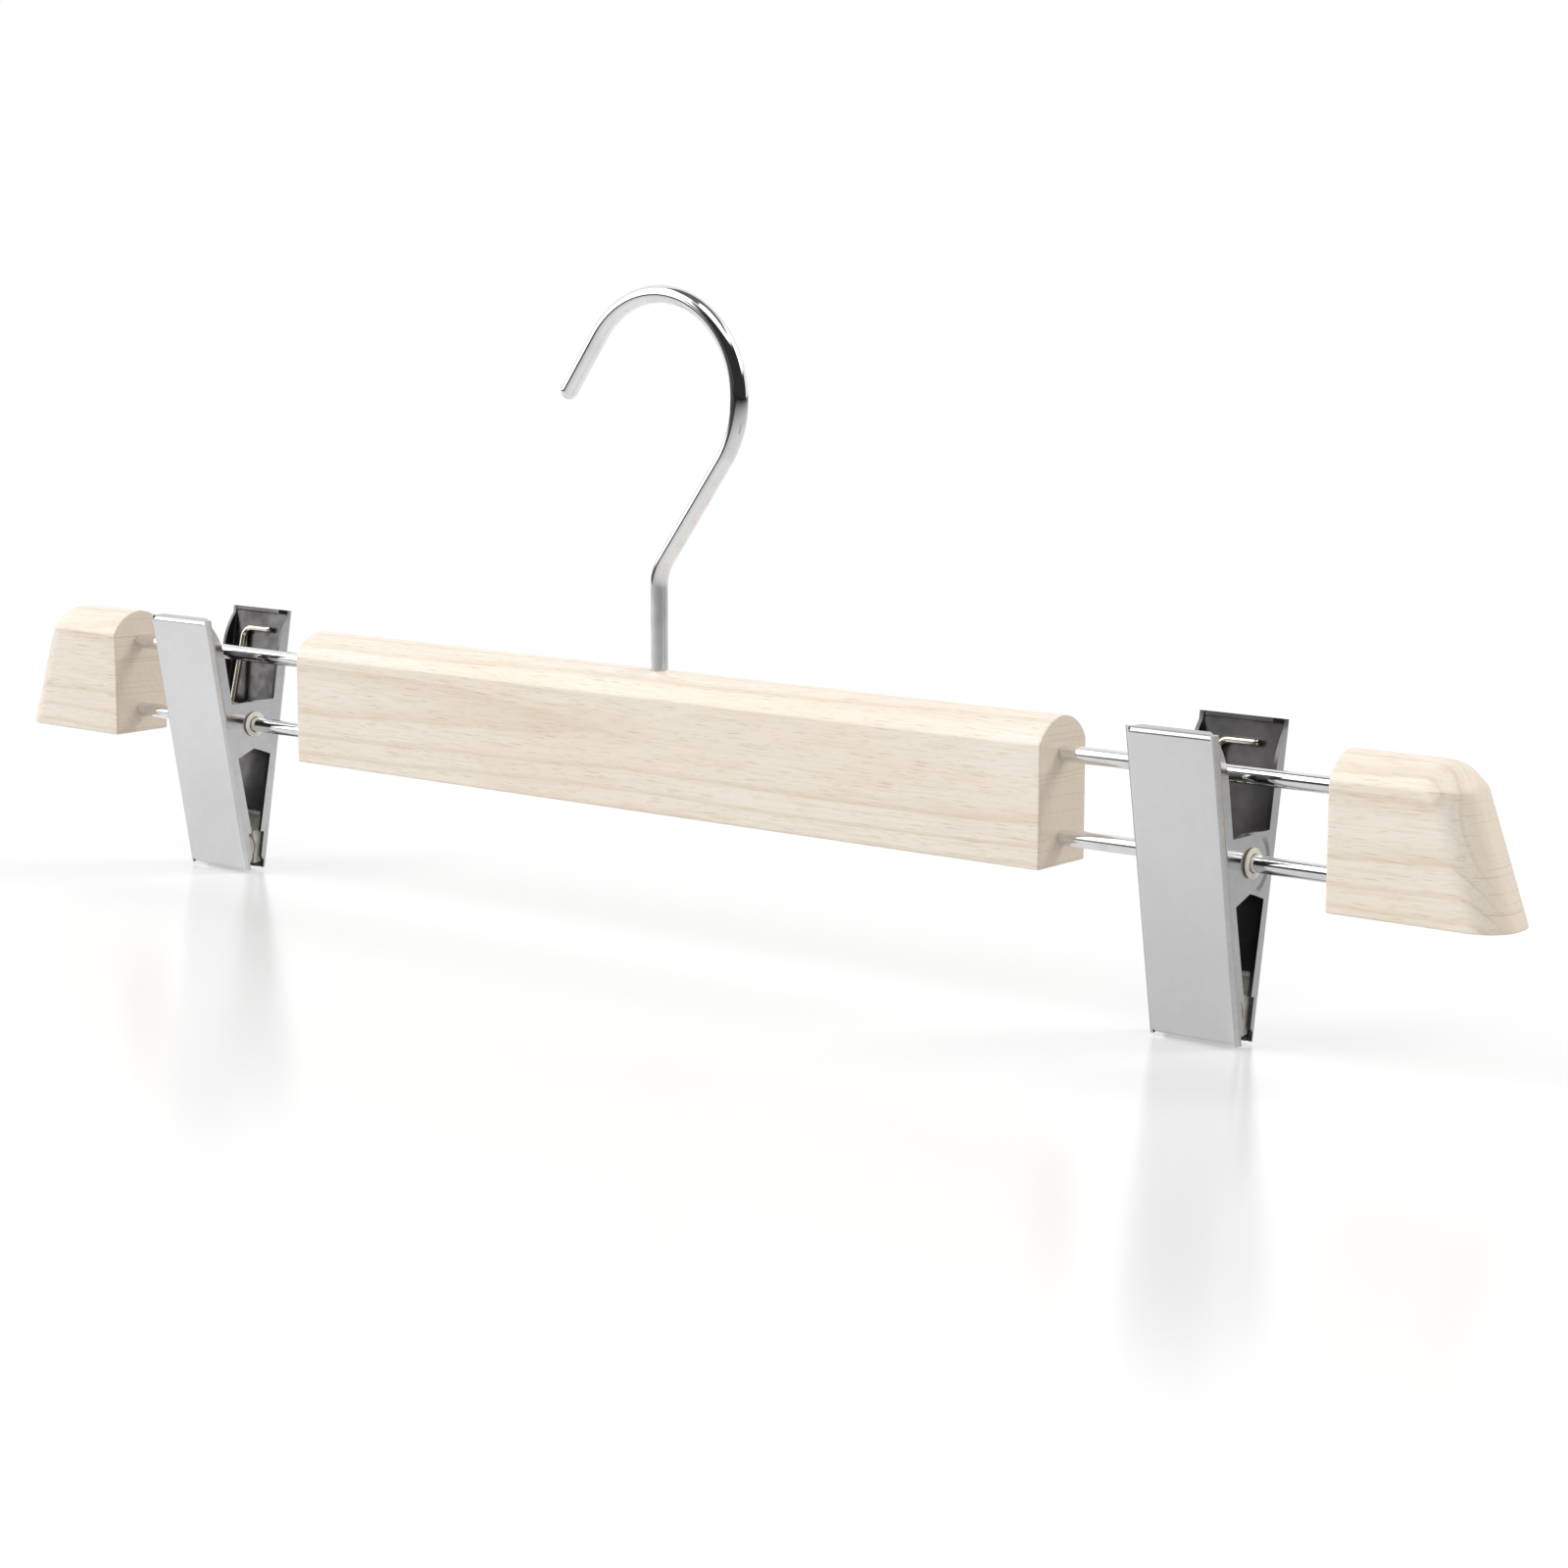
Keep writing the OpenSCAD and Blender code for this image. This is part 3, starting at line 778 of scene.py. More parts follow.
@dataclass
class Woodwork:
    """The centre bar and the two end blocks, rounded over on top."""

    finish: PaleBeech
    bar_len: float = 196.6
    thickness: float = 15.0
    height: float = 28.0
    arch_rise: float = 4.9
    block_len: float = 33.6
    block_x: float = 158.3
    slant: float = 19.7
    plan_r: float = 6.4
    top_r: float = 8.0
    bottom: float = -101.0
    edge: float = 0.35
    bore_r: float = 1.88
    recess_r: float = 4.43
    recess_depth: float = 7.0
    bore_top: float = -70.0
    margin: float = 0.3  # from a corner to the next point on the side
    fullest: float = 0.98  # greatest corner radius, as a share of half the width
    base_gap: float = 0.4
    shoulder_gap: float = 0.25
    edge_steps: int = 4
    round_steps: int = 18
    upright_slices: int = 9
    top_slices: int = 22
    crest: float = 1.2  # angle of the top's last slice from the ridge, in degrees
    stations: tuple[float, ...] = (-60.0, -20.0, -6.0, 6.0, 20.0, 60.0)

    @property
    def half(self) -> float:
        """Half the wood's thickness."""
        return self.thickness / 2

    @property
    def arch_r(self) -> float:
        """Radius of the rounded top."""
        return (self.half ** 2 + self.arch_rise ** 2) / (2 * self.arch_rise)

    def levels(self) -> list[tuple[float, float, float]]:
        """Heights at which the wood is sliced.

        Returns:
            For each slice its height, its half width, and how far its ends stand in.
        """
        base = arc(self.edge, self.edge, self.edge, 180, 270, self.edge_steps)
        made = [(z, self.half - inset, inset) for z, inset in base]
        shoulder = self.height - self.arch_rise
        low, high = self.edge + self.base_gap, shoulder - self.shoulder_gap
        plain = np.linspace(low, high, self.upright_slices)
        made += [(float(z), self.half, 0.0) for z in plain]
        top = math.asin(self.half / self.arch_r)
        for angle in np.linspace(top, math.radians(self.crest), self.top_slices):
            z = self.height - self.arch_r + self.arch_r * math.cos(angle)
            made.append((z, self.arch_r * math.sin(angle), 0.0))
        return made

    def half_outline(
        self, start: float, end: float, half: float, far_r: float, stations: tuple[float, ...] = ()
    ) -> list[Point]:
        """Front half of a slice's outline, from the inner end's middle to the outer end's.

        Args:
            start: X of the inner end.
            end: X of the outer end.
            half: Half the width.
            far_r: Corner radius at the outer end.
            stations: Places along the side that get a point of their own.

        Returns:
            The outline's points.
        """
        near, far = (min(corner, half * self.fullest) for corner in (self.edge, far_r))
        lead, tail = (min(self.margin, max(half - corner, 0.0) / 2) for corner in (near, far))
        steps = self.round_steps if far_r > self.edge else self.edge_steps
        return [
            (start, 0.0),
            (start, -half + near + lead),
            *arc(start + near, -half + near, near, 180, 270, self.edge_steps),
            (start + near + self.margin, -half),
            *((x, -half) for x in stations),
            (end - far - self.margin, -half),
            *arc(end - far, -half + far, far, 270, 360, steps),
            (end, -half + far + tail),
            (end, 0.0),
        ]

    def stacked(self, slices: list[tuple[float, list[Point]]]) -> Body:
        """Joins slices that mirror at y = 0 into a closed body.

        Args:
            slices: Height and front half outline of each slice, upwards.

        Returns:
            The points and the faces.
        """
        rings = []
        for z, front in slices:
            back = [(x, -y) for x, y in reversed(front[1:-1])]
            rings.append([(x, y, z) for x, y in front + back])
        count = len(rings[0])
        faces = ring_caps(len(rings), count)[:1] + ring_walls(len(rings), count)
        first = (len(rings) - 1) * count
        for k in range(count // 2):
            a, b = first + k, first + k + 1
            c, d = first + (count - k - 1) % count, first + (count - k) % count
            faces.append(tuple(dict.fromkeys((a, b, c, d))))
        return np.array([p for ring in rings for p in ring]), faces

    def bar(self) -> None:
        """Makes the centre bar, with the hook's bore and the recess for its head."""
        reach = self.bar_len / 2
        slices = []
        for z, half, inset in self.levels():
            front = self.half_outline(inset - reach, reach - inset, half, self.edge, self.stations)
            slices.append((z + self.bottom, front))
        piece = piece_from("bar_wood", *self.stacked(slices))
        low, shelf = self.bottom - 1, self.bottom + self.recess_depth
        profile = [(self.recess_r, low), (self.recess_r, shelf)]
        profile += [(self.bore_r, shelf), (self.bore_r, self.bore_top)]
        cut_out(piece, *revolved(profile, closed=False))
        self.finish.dress(piece)
        stand_in(piece, "centre_bar")

    def tip(self, z: float) -> float:
        """Length of an end block at one height.

        Args:
            z: Height above the block's base.

        Returns:
            The length.
        """
        lean = math.radians(self.slant)
        round_z = self.height - self.top_r
        round_x = self.block_len - round_z * math.tan(lean) - self.top_r / math.cos(lean)
        if z <= round_z + self.top_r * math.sin(lean):
            return self.block_len - z * math.tan(lean)
        return round_x + math.sqrt(max(self.top_r ** 2 - (z - round_z) ** 2, 0.0))

    def end_block(self, side: Side) -> None:
        """Makes one end block, slanted and rounded at its outer end.

        Args:
            side: The end on which it stands.
        """
        slices = []
        for z, half, inset in self.levels():
            front = self.half_outline(inset, self.tip(z) - inset, half, self.plan_r)
            slices.append((z + self.bottom, front))
        points, faces = self.stacked(slices)
        points[:, 0] = side.value * (points[:, 0] + self.block_x)
        if side is Side.LEFT:
            faces = [tuple(reversed(face)) for face in faces]
        piece = piece_from(f"{side.word}_end_wood", points, faces)
        self.finish.dress(piece)
        stand_in(piece, f"{side.word}_end_block")

    def build(self) -> None:
        """Makes all three wooden pieces."""
        self.bar()
        for side in Side:
            self.end_block(side)


# ---- rods


@dataclass
class RodPair:
    """The two rods between the bar and one end block."""

    side: Side
    finish: BrightPlate
    radius: float = 1.6
    middle: float = 128.3
    length: float = 88.0
    low_z: float = -95.7
    high_z: float = -80.0
    edge: float = 0.3
    rings: int = 12

    def rod(self, word: str, z: float) -> None:
        """Makes one rod.

        Args:
            word: "upper" or "lower".
            z: Height of its axis.
        """
        half = self.length / 2
        ends = [-half, -half + self.edge]
        plain = list(np.linspace(-half + 2 * self.edge, half - 2 * self.edge, self.rings))
        along = np.array(ends + plain + [-e for e in reversed(ends)])
        radii = np.full(len(along), self.radius)
        radii[0] = radii[-1] = self.radius - self.edge
        path = np.zeros((len(along), 3))
        path[:, 0] = along + self.side.value * self.middle
        path[:, 2] = z
        piece = piece_from(f"{self.side.word}_{word}_bright_rod", *tube(path, radii, TURNED_SIDES))
        self.finish.dress(piece)
        stand_in(piece, f"{self.side.word}_{word}_rod")

    def build(self) -> None:
        """Makes both rods."""
        self.rod("upper", self.high_z)
        self.rod("lower", self.low_z)


# ---- hook


@dataclass
class WireHook:
    """The swivelling hook, its peened head and the washer above the head."""

    finish: BrightPlate
    radius: float = 1.8
    crown_r: float = 20.1
    crown_shift: float = 0.8
    neck_lean: float = 36.5
    neck_r: float = 9.5
    tail_len: float = 15.6
    tail_lean: float = 36.0
    tip_len: float = 1.1
    tip_step: float = 0.5
    head_r: float = 3.0
    head_t: float = 1.6
    head_top: float = -95.15
    head_profile: tuple[Point, ...] = (
        (0, 0.62), (0.12, 0.8), (0.35, 0.93), (0.7, 1.0), (1.2, 1.0), (1.5, 0.94), (1.6, 0.8))
    head_lead: float = 0.12
    tip_profile: tuple[Point, ...] = ((1.0, 0.0), (0.85, 0.08), (0.12, 0.88), (0.0, 1.0))
    washer_r: float = 4.2
    washer_t: float = 1.0
    washer_bore: float = 1.88
    washer_edge: float = 0.25
    sides: int = 48

    def centre_line(self) -> tuple[np.ndarray, np.ndarray]:
        """The wire's centre line from its head to its open end.

        Returns:
            The points, one a row, and the radius at each.
        """
        lean, tail = math.radians(self.neck_lean), math.radians(self.tail_lean)
        crown_z = -math.sqrt((self.crown_r - self.radius) ** 2 - self.crown_shift ** 2)
        neck_x = self.crown_shift + self.crown_r * math.cos(lean)
        neck_z = crown_z - self.crown_r * math.sin(lean)
        bend_z = neck_z - neck_x / math.tan(lean) - self.neck_r * math.tan(lean / 2)
        foot = self.head_top - self.head_t
        head = [(0.0, foot + rise, self.head_r * share) for rise, share in self.head_profile]
        stem = [(0.0, z) for z in np.linspace(self.head_top + self.head_lead, bend_z, 14)]
        neck = arc(self.neck_r, bend_z, self.neck_r, 180, 180 - self.neck_lean, 11)[1:]
        slope = straight(np.array(neck[-1]), np.array((neck_x, neck_z)), 7)[:-1]
        crown = arc(self.crown_shift, crown_z, self.crown_r, -self.neck_lean, 180 - self.tail_lean, 89)
        line = head + [(x, z, self.radius) for x, z in (*stem, *neck, *slope, *crown)]
        last = line[-1]
        way = (-math.sin(tail), -math.cos(tail))
        soft, step = self.tip_len, self.tip_step
        ends = [(share * (self.tail_len - soft), self.radius) for share in (0.25, 0.5, 0.75, 0.97)]
        ends += [(self.tail_len - soft * back, self.radius - step * less) for back, less in self.tip_profile]
        line += [(last[0] + way[0] * run, last[1] + way[1] * run, radius) for run, radius in ends]
        table = np.array(line)
        path = np.stack([table[:, 0], np.zeros(len(table)), table[:, 1]], axis=1)
        return path, table[:, 2]

    def build(self) -> None:
        """Makes the hook and its washer."""
        path, radii = self.centre_line()
        wire = piece_from("hook_wire", *tube(path, radii, self.sides), sharp=SOFT_SHARP)
        self.finish.dress(wire)
        stand_in(wire, "hook")
        profile = rounded_rim(self.washer_bore, self.washer_r, 0.0, self.washer_t, self.washer_edge)
        points, faces = revolved(profile, closed=True)
        washer = piece_from("hook_bright_washer", points + np.array([0, 0, self.head_top]), faces)
        self.finish.dress(washer)
        stand_in(washer, "hook_washer")


# ---- clips


@dataclass
class SpringForm:
    """A clip's torsion spring: a coil round the pivot and a leg up each handle."""

    finish: Finish
    radius: float = 0.7
    coil_r: float = 3.7
    coil_sides: int = 32
    curl_pitch: float = 2.0
    curls: int = 4
    leg_top: float = 19.8
    leg_y: float = 10.62
    leg_foot: float = 8.5
    leg_bend: float = 2.2
    foot_gap: float = 0.4
    knee_run: float = 1.1
    knee: tuple[float, float] = (6.2, 3.0)
    blend_from: float = 4.5
    blend_to: float = 6.7
    tip_soft: float = 0.35
    sides: int = 16

    @property
    def leave(self) -> float:
        """Angle round the coil at which a leg leaves it."""
        out, up = self.knee
        return math.atan2(up, out) + math.asin(self.coil_r / math.hypot(out, up)) - math.pi / 2

    @property
    def sweep(self) -> float:
        """Angle through which the wire is wound between the legs."""
        return 2 * math.pi * self.curls + math.pi + 2 * self.leave

    @property
    def half(self) -> float:
        """Half the coil's length, on the wire's centre line."""
        return self.curl_pitch * self.sweep / (4 * math.pi)

    def leg(self) -> np.ndarray:
        """Draws the centre line of the back leg, from its free end to the coil.

        Returns:
            The points, one a row.
        """
        out, up = self.knee
        top = np.array([-self.half, self.leg_y, self.leg_top])
        knee = np.array([-self.half, out, up])
        leave = np.array([-self.half, self.coil_r * math.cos(self.leave), self.coil_r * math.sin(self.leave)])
        way = (top - knee) / np.linalg.norm(top - knee)
        across = np.array([1.0, 0.0, 0.0])
        centre = top - way * self.leg_bend + across * self.leg_bend
        runs = np.linspace(self.leg_foot, self.leg_bend + self.foot_gap, 6)
        points = [top + across * run for run in runs]
        for angle in np.radians(np.linspace(0, 90, 10)):
            turned = way * math.cos(angle) * self.leg_bend - across * math.sin(angle) * self.leg_bend
            points.append(centre + turned)
        before = knee + way * self.knee_run
        points += straight(points[-1], before, 9)
        after = knee + (leave - knee) / np.linalg.norm(leave - knee) * self.knee_run
        for share in np.linspace(0, 1, 8)[1:]:
            curve = (1 - share) ** 2 * before + 2 * share * (1 - share) * knee + share ** 2 * after
            points.append(curve)
        points += straight(after, leave, 5)
        return np.array(points)

    def coil(self) -> np.ndarray:
        """Draws the centre line of the coil, from the back leg to the front one.

        Returns:
            The points, one a row.
        """
        shares = np.linspace(0, 1, int(self.sweep / (2 * math.pi) * self.coil_sides) + 1)
        angles = self.leave - self.sweep * shares
        return np.stack([
            -self.half + 2 * self.half * shares,
            self.coil_r * np.cos(angles),
            self.coil_r * np.sin(angles)], axis=1)

    def rounded_tip(self, path: np.ndarray) -> tuple[np.ndarray, np.ndarray]:
        """Rounds the free tip at the start of a path.

        Args:
            path: The centre line, from its free tip on.

        Returns:
            The path with a few points added at its tip, and the radius at each point.
        """
        soft = self.tip_soft
        way = (path[0] - path[1]) / np.linalg.norm(path[0] - path[1])
        turns = np.radians((75, 50, 25))
        tip = [path[0] - way * soft * (1 - math.sin(t)) for t in turns]
        radii = [self.radius * (1 - soft + soft * math.cos(t)) for t in turns]
        return np.array([*tip, *path[1:]]), np.array(radii + [self.radius] * (len(path) - 1))

    def build(self, side: Side, pivot: np.ndarray) -> None:
        """Makes the spring in two lengths, one ending in the front leg and one in the back leg.

        Args:
            side: The clip's end of the hanger.
            pivot: The clip's pivot.
        """
        leg, coil = self.leg(), self.coil()
        turned = leg[::-1] * np.array([-1.0, -1.0, 1.0])
        front = np.concatenate([coil, turned[1:]])
        back = np.concatenate([leg, coil[1:3]])
        for jaw, path in ((Jaw.FRONT, front), (Jaw.BACK, back)):
            order = slice(None, None, jaw.value)  # the front length has its tip at its end
            path, radii = self.rounded_tip(path[order])
            points, faces = tube(path[order], radii[order], self.sides)
            name = f"{side.word}_spring_{jaw.word}_length"
            piece = piece_from(name, points + pivot, faces, sharp=TIP_SHARP)
            self.finish.dress(piece)
            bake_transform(piece)
            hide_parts(f"{side.word}_spring")
            LOG.info("%s bends from %s_swing to %s_%s", piece.name, side.word, side.word, jaw.word)


class JawFace(Enum):
    """Parts of a jaw that differ in finish, with painted shade on the inner faces, the folds and the outward
    sides, and the material slot of each.
    """

    PLATE = 0
    INNER = 1
    FOLD = 2
    SIDE = 3


@dataclass
class SprungClip:
    """One clip: two folded jaws, their pads, a spring and two bushes."""

    side: Side
    sheet: dict[JawFace, PressedSheet]
    resin: MilkyResin
    pad_resin: MilkyResin
    spring: SpringForm
    pivot_x: float
    pivot_z: float = -95.7
    sheet_edge: float = 0.14
    pad_edge: float = 0.2
    dish_r: float = 5.6
    dish_rim_w: float = 1.0
    dish_play: float = 0.4
    flange_r: float = 2.8
    flange_t: float = 0.5
    flange_in: float = 9.7
    flange_edge: float = 0.18
    sleeve_lead: float = 0.1
    bore_mouth: float = 0.15
    sleeve_r: float = 2.18
    sleeve_in: float = 7.55
    bore_r: float = 1.68
    # parts of a face's normal that tell where on the jaw it lies
    inner_least: tuple[float, float] = (0.6, 0.4)
    fold_least: float = 0.5
    bend_span: tuple[float, float] = (0.3, 0.92)
    bend_level: float = 0.4
    side_least: float = 0.9
    rim_span: tuple[float, float] = (0.3, 0.97)

    @property
    def pivot(self) -> np.ndarray:
        """The clip's pivot, on the lower rod's axis."""
        return np.array([self.pivot_x, 0.0, self.pivot_z])

    def jaw(self, jaw: Jaw) -> None:
        """Makes one folded jaw with fine rounded edges.

        Args:
            jaw: Which of the two.
        """
        node = f"{self.side.word}_{jaw.word}_jaw"
        piece = softened(node, f"{self.side.word}_{jaw.word}_folded_sheet", self.sheet_edge)
        # the inner, fold and side finishes are darker than the plate's: painted shade
        for part in JawFace:
            piece.data.materials.append(self.sheet[part].material())
        for face in piece.data.polygons:
            face.material_index = self.jaw_face(face, jaw).value
        if jaw is Jaw.BACK:
            self.flatten_dish(piece)
        stand_in(piece, node)

    def jaw_face(self, face: bpy.types.MeshPolygon, jaw: Jaw) -> JawFace:
        """Tells on which part of a jaw a face lies, from where it points.

        Args:
            face: The face.
            jaw: The jaw that it belongs to.

        Returns:
            The finish's slot.
        """
        normal = face.normal
        outward = normal.x * math.copysign(1.0, face.center.x - self.pivot_x * MM)
        if outward < -self.inner_least[0] or normal.y * jaw.value < -self.inner_least[1]:
            return JawFace.INNER
        bent = self.bend_span[0] < abs(normal.x) < self.bend_span[1] and abs(normal.z) < self.bend_level
        if normal.z > self.fold_least or bent:
            return JawFace.FOLD
        return JawFace.SIDE if outward > self.side_least else JawFace.PLATE

    def flatten_dish(self, piece: bpy.types.Object) -> None:
        """Shades the shallow rims of the dishes in the ears as flat, as well-pressed sheet looks.

        Args:
            piece: The back jaw's mesh.
        """
        mesh = settled(piece)
        mesh.name = piece.name
        normals = [tuple(corner.vector) for corner in mesh.corner_normals]
        near, far = self.dish_r - self.dish_play, self.dish_r + self.dish_rim_w + self.dish_play
        for face in mesh.polygons:
            reach = math.hypot(face.center.y, face.center.z - self.pivot_z * MM) / MM
            if near < reach < far and self.rim_span[0] < abs(face.normal.x) < self.rim_span[1]:
                inward = face.normal.x * (face.center.x - self.pivot_x * MM) < 0
                # the rims take the inner or the side finish, both darkened as painted shade
                face.material_index = (JawFace.INNER if inward else JawFace.SIDE).value
                for loop in face.loop_indices:
                    normals[loop] = (math.copysign(1.0, face.normal.x), 0.0, 0.0)
        mesh.normals_split_custom_set(normals)
        piece.modifiers.clear()
        piece.data = mesh

    def pad(self, jaw: Jaw) -> None:
        """Makes one pad with soft moulded edges.

        Args:
            jaw: The jaw that holds it.
        """
        node = f"{self.side.word}_{jaw.word}_pad"
        piece = softened(node, f"{self.side.word}_{jaw.word}_grip", self.pad_edge)
        self.pad_resin.dress(piece)
        stand_in(piece, node)

    def bush(self, word: str, direction: int) -> None:
        """Makes one flanged bush, turned about the lower rod.

        Args:
            word: "inner", towards the bar, or "outer".
            direction: Sign of X on which its flange stands.
        """
        face, lead, mouth = self.flange_in + self.flange_t, self.sleeve_lead, self.bore_mouth
        rim = rounded_rim(self.bore_r, self.flange_r, self.flange_in, face, self.flange_edge)
        profile = [(self.bore_r, self.sleeve_in), (self.sleeve_r - lead, self.sleeve_in)]
        profile += [(self.sleeve_r, self.sleeve_in + lead), (self.sleeve_r, self.flange_in), *rim[1:-1]]
        profile += [(self.bore_r + mouth, face), (self.bore_r, face - mouth)]
        points, faces = revolved(profile, closed=True)
        laid = np.stack([points[:, 2] * direction, points[:, 1], points[:, 0]], axis=1)
        if direction > 0:
            faces = [tuple(reversed(face)) for face in faces]
        piece = piece_from(f"{self.side.word}_{word}_flanged_bush", laid + self.pivot, faces)
        self.resin.dress(piece)
        stand_in(piece, f"{self.side.word}_{word}_bush")

    def build(self) -> None:
        """Makes every piece of the clip."""
        for jaw in Jaw:
            self.jaw(jaw)
            self.pad(jaw)
        self.bush("inner", -self.side.value)
        self.bush("outer", self.side.value)
        self.spring.build(self.side, self.pivot)


# ---- studio


@dataclass(frozen=True)
class GlossyWhite(Finish):
    """White table top with a soft mirror in it, white to the camera where nothing shades it."""

    glow: float = 0.45
    albedo: float = 0.55
    mirrored: float = 0.33
    mirror: float = 0.3
    blur: float = 0.2
    fade: float = 550.0
    fade_turn: float = 120.0
    fade_left: float = 0.2
    edge: float = 760.0
    edge_half: float = 70.0
    edge_turn: float = -130.0

    @staticmethod
    def along(x: Wire, y: Wire, turn: float) -> Wire:
        """How far a place lies in a direction, given in degrees from the back towards the right."""
        angle = math.radians(turn)
        return x * math.sin(angle) + y * math.cos(angle)

    def paint(self, graph: Graph) -> Wire:
        """Builds the table top, which polished metal sees darken towards the front and end at the left.

        Args:
            graph: The empty graph.

        Returns:
            The shader.
        """
        camera_ray = graph.node("LightPath", output="Is Camera Ray")
        shiny = camera_ray.also("Is Glossy Ray")
        x, y, _ = graph.split(graph.place())
        reach = graph.maths("SQRT", x * x + y * y)
        depth = (reach + self.along(x, y, self.fade_turn)) * (0.5 / self.fade)
        faded = graph.maths("EXPONENT", 0.0 - depth)
        ended = self.along(x, y, self.edge_turn).ramp(self.edge + self.edge_half, self.edge - self.edge_half)
        dim = 1.0 - faded * (self.fade_left + (1.0 - self.fade_left) * ended)
        unlit = graph.lit(0.0)
        plain = graph.blend(shiny, unlit, graph.lit(self.mirrored))
        glow = graph.blend(camera_ray, plain, graph.lit(self.glow))
        matt = graph.node("BsdfDiffuse", None, {"Color": grey(self.albedo)})
        base = graph.node("AddShader", None, {0: glow, 1: matt})
        gloss = graph.node("BsdfGlossy", None, {"Color": grey(1.0), "Roughness": self.blur})
        return graph.blend((1.0 - shiny) * self.mirror, graph.blend(dim * shiny, base, unlit), gloss)


@dataclass(frozen=True)
class Card:
    """A lit or dark card round the object, which only polished surfaces show."""

    turn: tuple[float, float]
    height: tuple[float, float]
    level: float
    soft: float = 6.0

    def within(self, angle: Wire, span: tuple[float, float]) -> Wire:
        """Share of 1 inside a span of angles, easing to 0 over the card's soft edge."""
        (low, high), half = span, self.soft / 2
        return angle.ramp(low - half, low + half) * angle.ramp(high + half, high - half)


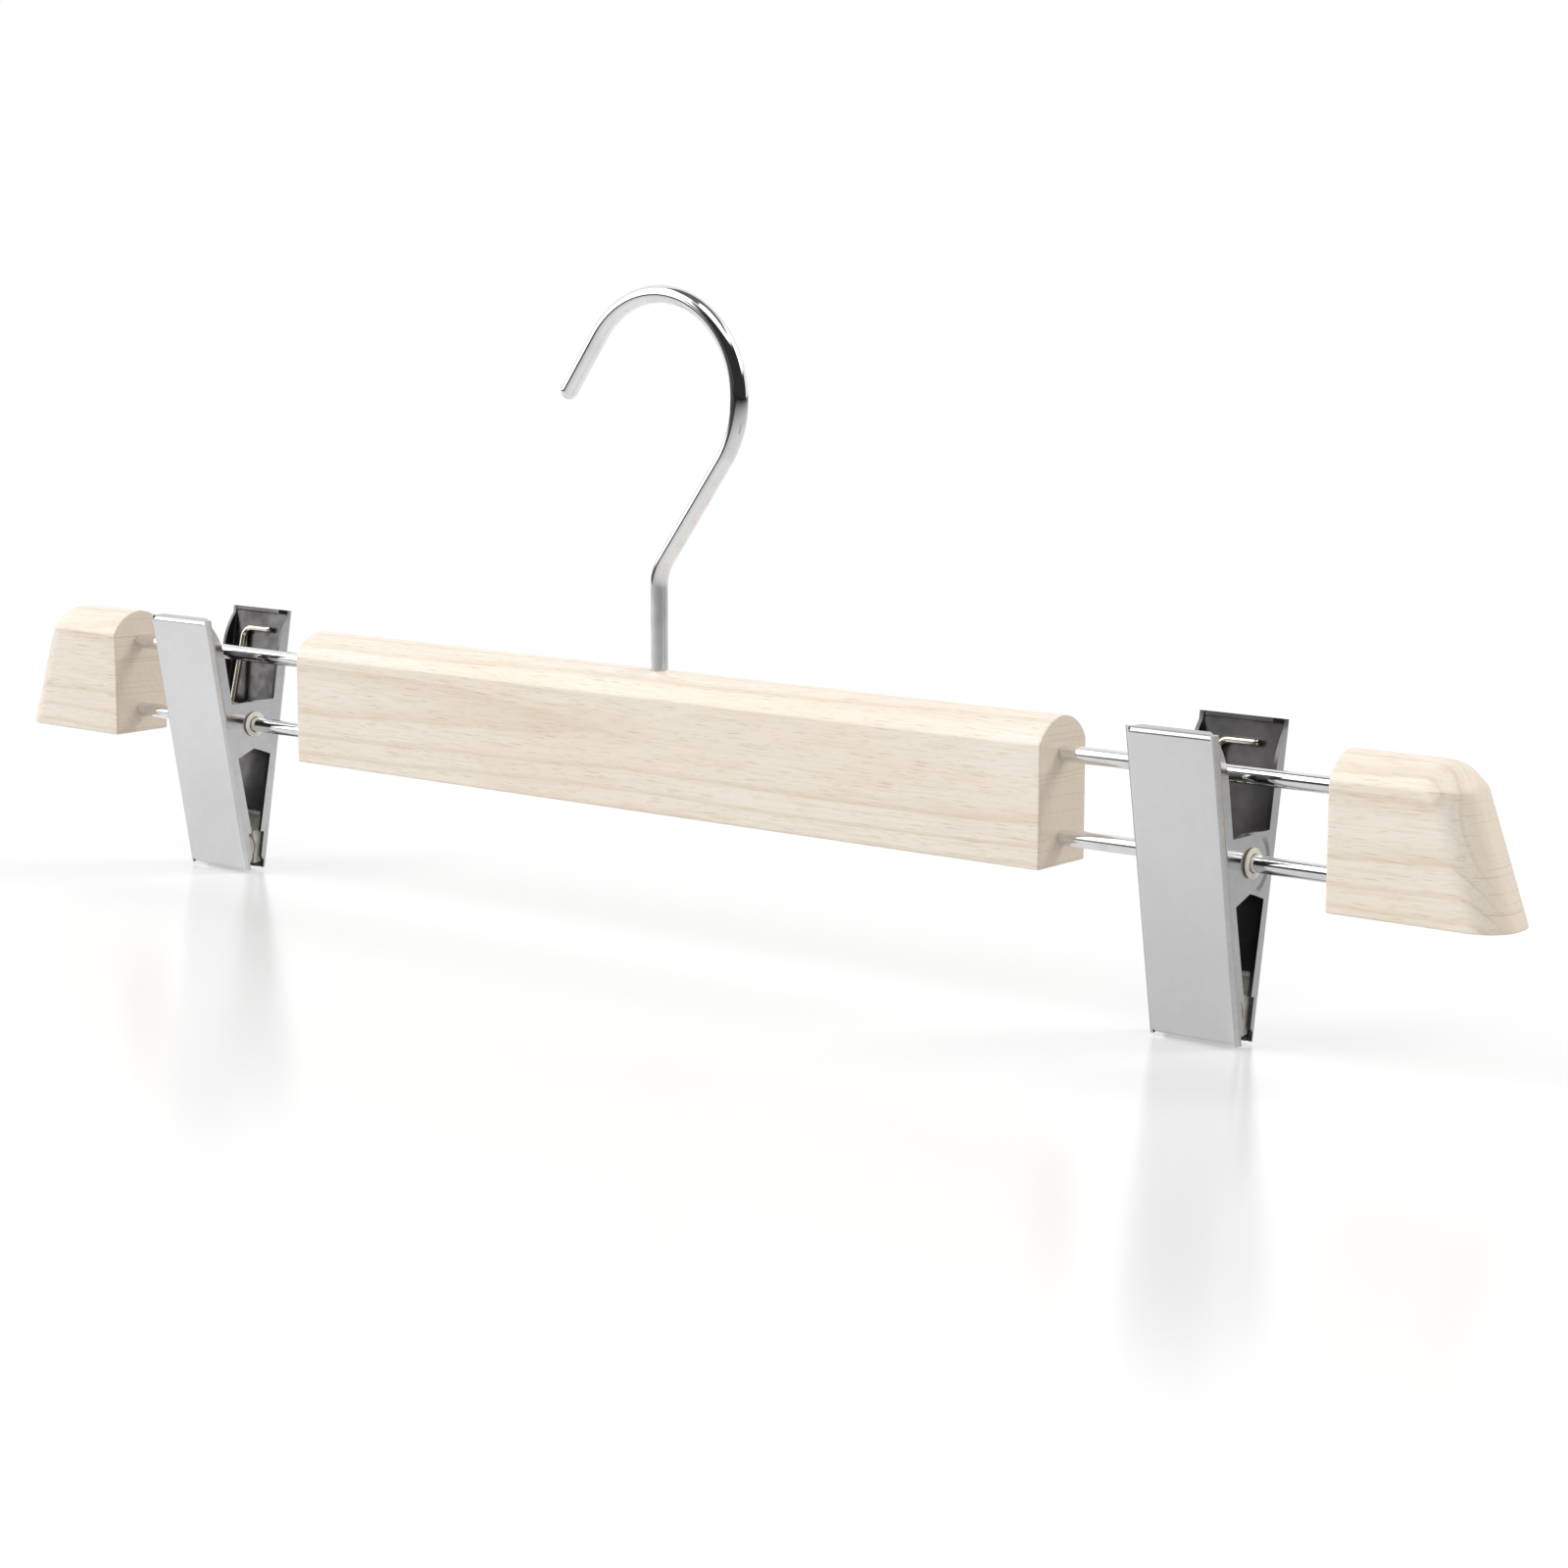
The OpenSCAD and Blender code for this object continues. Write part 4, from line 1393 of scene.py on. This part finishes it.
@dataclass
class Studio:
    """Floor, soft lamps, white surroundings and the camera."""

    floor_z: float = -129.3
    floor_half: float = 4000.0
    ambient: float = 0.57
    facing: float = 125.0
    wall: float = 0.95
    camera_place: tuple[float, float, float] = (452.881, -519.604, 20.045)
    azimuth: float = 38.99
    elevation: float = 9.59
    roll: float = 0.08
    focal_px: float = 3523.2
    image_px: float = 1600.0
    sensor: float = 36.0
    cards: tuple[Card, ...] = (  # turns from the middle of the dark front, and heights above level
        Card((-260.0, 260.0), (57.0, 120.0), 0.14, 8.0),
        Card((80.0, 132.0), (3.0, 60.0), 2.2, 6.0),
        Card((-80.0, 80.0), (-20.0, 46.0), 0.03, 7.0),
        Card((75.0, 90.0), (-20.0, 20.0), 0.05, 5.0),
        Card((75.0, 150.0), (-20.0, 2.5), 0.12, 4.0),
        Card((-102.0, -52.0), (20.0, 52.0), 2.6, 7.0),
        Card((-26.0, 66.0), (48.0, 86.0), 2.6, 4.0),
    )

    def floor(self) -> None:
        """Lays the white table top."""
        half = self.floor_half
        signs = ((-1, -1), (1, -1), (1, 1), (-1, 1))
        corners = np.array([(x * half, y * half, self.floor_z) for x, y in signs])
        table = piece_from("table_top", corners, [(0, 1, 2, 3)])
        GlossyWhite("table white").dress(table)

    def lamp(self, name: str, turn: float, height: float, strength: float, spread: float) -> None:
        """Hangs one soft distant lamp, which the cards stand for in polished surfaces.

        Args:
            name: The lamp's name.
            turn: Its direction in degrees, from the back towards the right.
            height: Its height above level, in degrees.
            strength: Its strength.
            spread: How wide it looks from the object, in degrees.
        """
        light = bpy.data.lights.new(name, "SUN")
        light.energy, light.angle = strength, math.radians(spread)
        holder = bpy.data.objects.new(name, light)
        a, e = math.radians(turn), math.radians(height)
        towards = Vector((math.sin(a) * math.cos(e), math.cos(a) * math.cos(e), math.sin(e)))
        holder.rotation_mode = "QUATERNION"
        holder.rotation_quaternion = towards.to_track_quat("Z", "Y")
        holder.visible_glossy = False
        bpy.context.scene.collection.objects.link(holder)

    def surroundings(self) -> None:
        """Makes the world: white to the camera, plain for light, with cards in polished surfaces."""
        world = bpy.data.worlds.new("studio")
        bpy.context.scene.world = world
        world.use_nodes = True
        graph = Graph(world.node_tree)
        path = graph.node("LightPath", output="Is Camera Ray")
        x, y, z = graph.split(graph.node("TexCoord", output="Generated"))
        sine, cosine = math.sin(math.radians(self.facing)), math.cos(math.radians(self.facing))
        turn = graph.maths("ARCTAN2", x * cosine - y * sine, x * sine + y * cosine) * math.degrees(1)
        height = graph.maths("ARCSINE", z) * math.degrees(1)
        mirror = grey(self.wall)
        for card in self.cards:
            across, along = card.within(turn, card.turn), card.within(height, card.height)
            mirror = graph.mix(across * along, mirror, grey(card.level))
        seen = graph.maths("MAXIMUM", path, path.also("Is Transmission Ray"))
        plain = graph.mix(seen, grey(self.ambient), grey(1.0))
        colour = graph.mix(path.also("Is Glossy Ray"), plain, mirror)
        shown = graph.node("Background", None, {"Color": colour, "Strength": 1.0})
        graph.finish(shown, "OutputWorld")

    def camera(self) -> None:
        """Sets the camera at the fitted place and angle."""
        a, e, r = (math.radians(v) for v in (self.azimuth, self.elevation, self.roll))
        back = Vector((math.sin(a) * math.cos(e), -math.cos(a) * math.cos(e), math.sin(e)))
        level = Vector((math.cos(a), math.sin(a), 0.0))
        rise = back.cross(level)
        right = math.cos(r) * level + math.sin(r) * rise
        up = -math.sin(r) * level + math.cos(r) * rise
        lens = bpy.data.cameras.new("view")
        lens.sensor_fit, lens.sensor_width = "HORIZONTAL", self.sensor
        lens.lens = self.sensor * self.focal_px / self.image_px
        lens.clip_start, lens.clip_end = 0.01, 20.0
        holder = bpy.data.objects.new("view", lens)
        turn = Matrix((right, up, back)).transposed()
        holder.matrix_world = Matrix.Translation(Vector(self.camera_place) * MM) @ turn.to_4x4()
        bpy.context.scene.collection.objects.link(holder)
        bpy.context.scene.camera = holder

    def build(self) -> None:
        """Makes the whole studio."""
        self.floor()
        self.lamp("left_lamp", turn=-125.0, height=30.0, strength=1.88, spread=56)
        self.lamp("right_lamp", turn=130.0, height=63.0, strength=0.28, spread=42)
        self.lamp("back_lamp", turn=47.0, height=38.0, strength=1.0, spread=26)
        self.surroundings()
        self.camera()
        bpy.context.scene.view_settings.view_transform = "Standard"


def main() -> None:
    """Builds every piece in order."""
    logging.basicConfig(level=logging.INFO, format="%(message)s")
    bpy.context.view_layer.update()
    beech = PaleBeech("pale beech")
    rod_plate = BrightPlate("bright rod plate")
    hook_plate = BrightPlate("bright hook plate", roughness=0.08)
    sheet = {
        JawFace.PLATE: PressedSheet("pressed jaw sheet"),
        # painted shade: the inner faces are dark grey to stand for the shade and dark reflections inside the
        # clip
        JawFace.INNER: PressedSheet(
            "dull inner sheet", tone(116, 114, 114), tone(86, 84, 84),
            roughness=0.28, spread=0.12, mottle=0.35, grain=0.0004),
        # painted shade: the folds are greyer than the plate to stand for the darker reflections on the bends
        JawFace.FOLD: PressedSheet(
            "rubbed fold of sheet", tone(206, 206, 207), tone(196, 196, 198),
            roughness=0.22, spread=0.06, mottle=0.8, grain=0.0003),
        # painted shade: the outward sides are darker than the plate to stand for their darker reflections
        JawFace.SIDE: PressedSheet(
            "pressed side sheet", tone(196, 196, 197), tone(188, 188, 190),
            roughness=0.14, spread=0.05, mottle=0.55, grain=0.0002),
    }
    spring_wire = BrightPlate("nickelled spring wire", tone(231, 227, 215), tone(214, 209, 196), 0.16, 0.05)
    bush_resin = MilkyResin("bush resin")
    pad_resin = MilkyResin("pad resin", tone(205, 202, 194), tone(186, 182, 172), 0.38)
    Woodwork(beech).build()
    for side in Side:
        RodPair(side, rod_plate).build()
    WireHook(hook_plate).build()
    for side, place in ((Side.LEFT, -130.0), (Side.RIGHT, 129.4)):
        SprungClip(side, sheet, bush_resin, pad_resin, SpringForm(spring_wire), place).build()
    Studio().build()


if __name__ == "__main__":
    main()
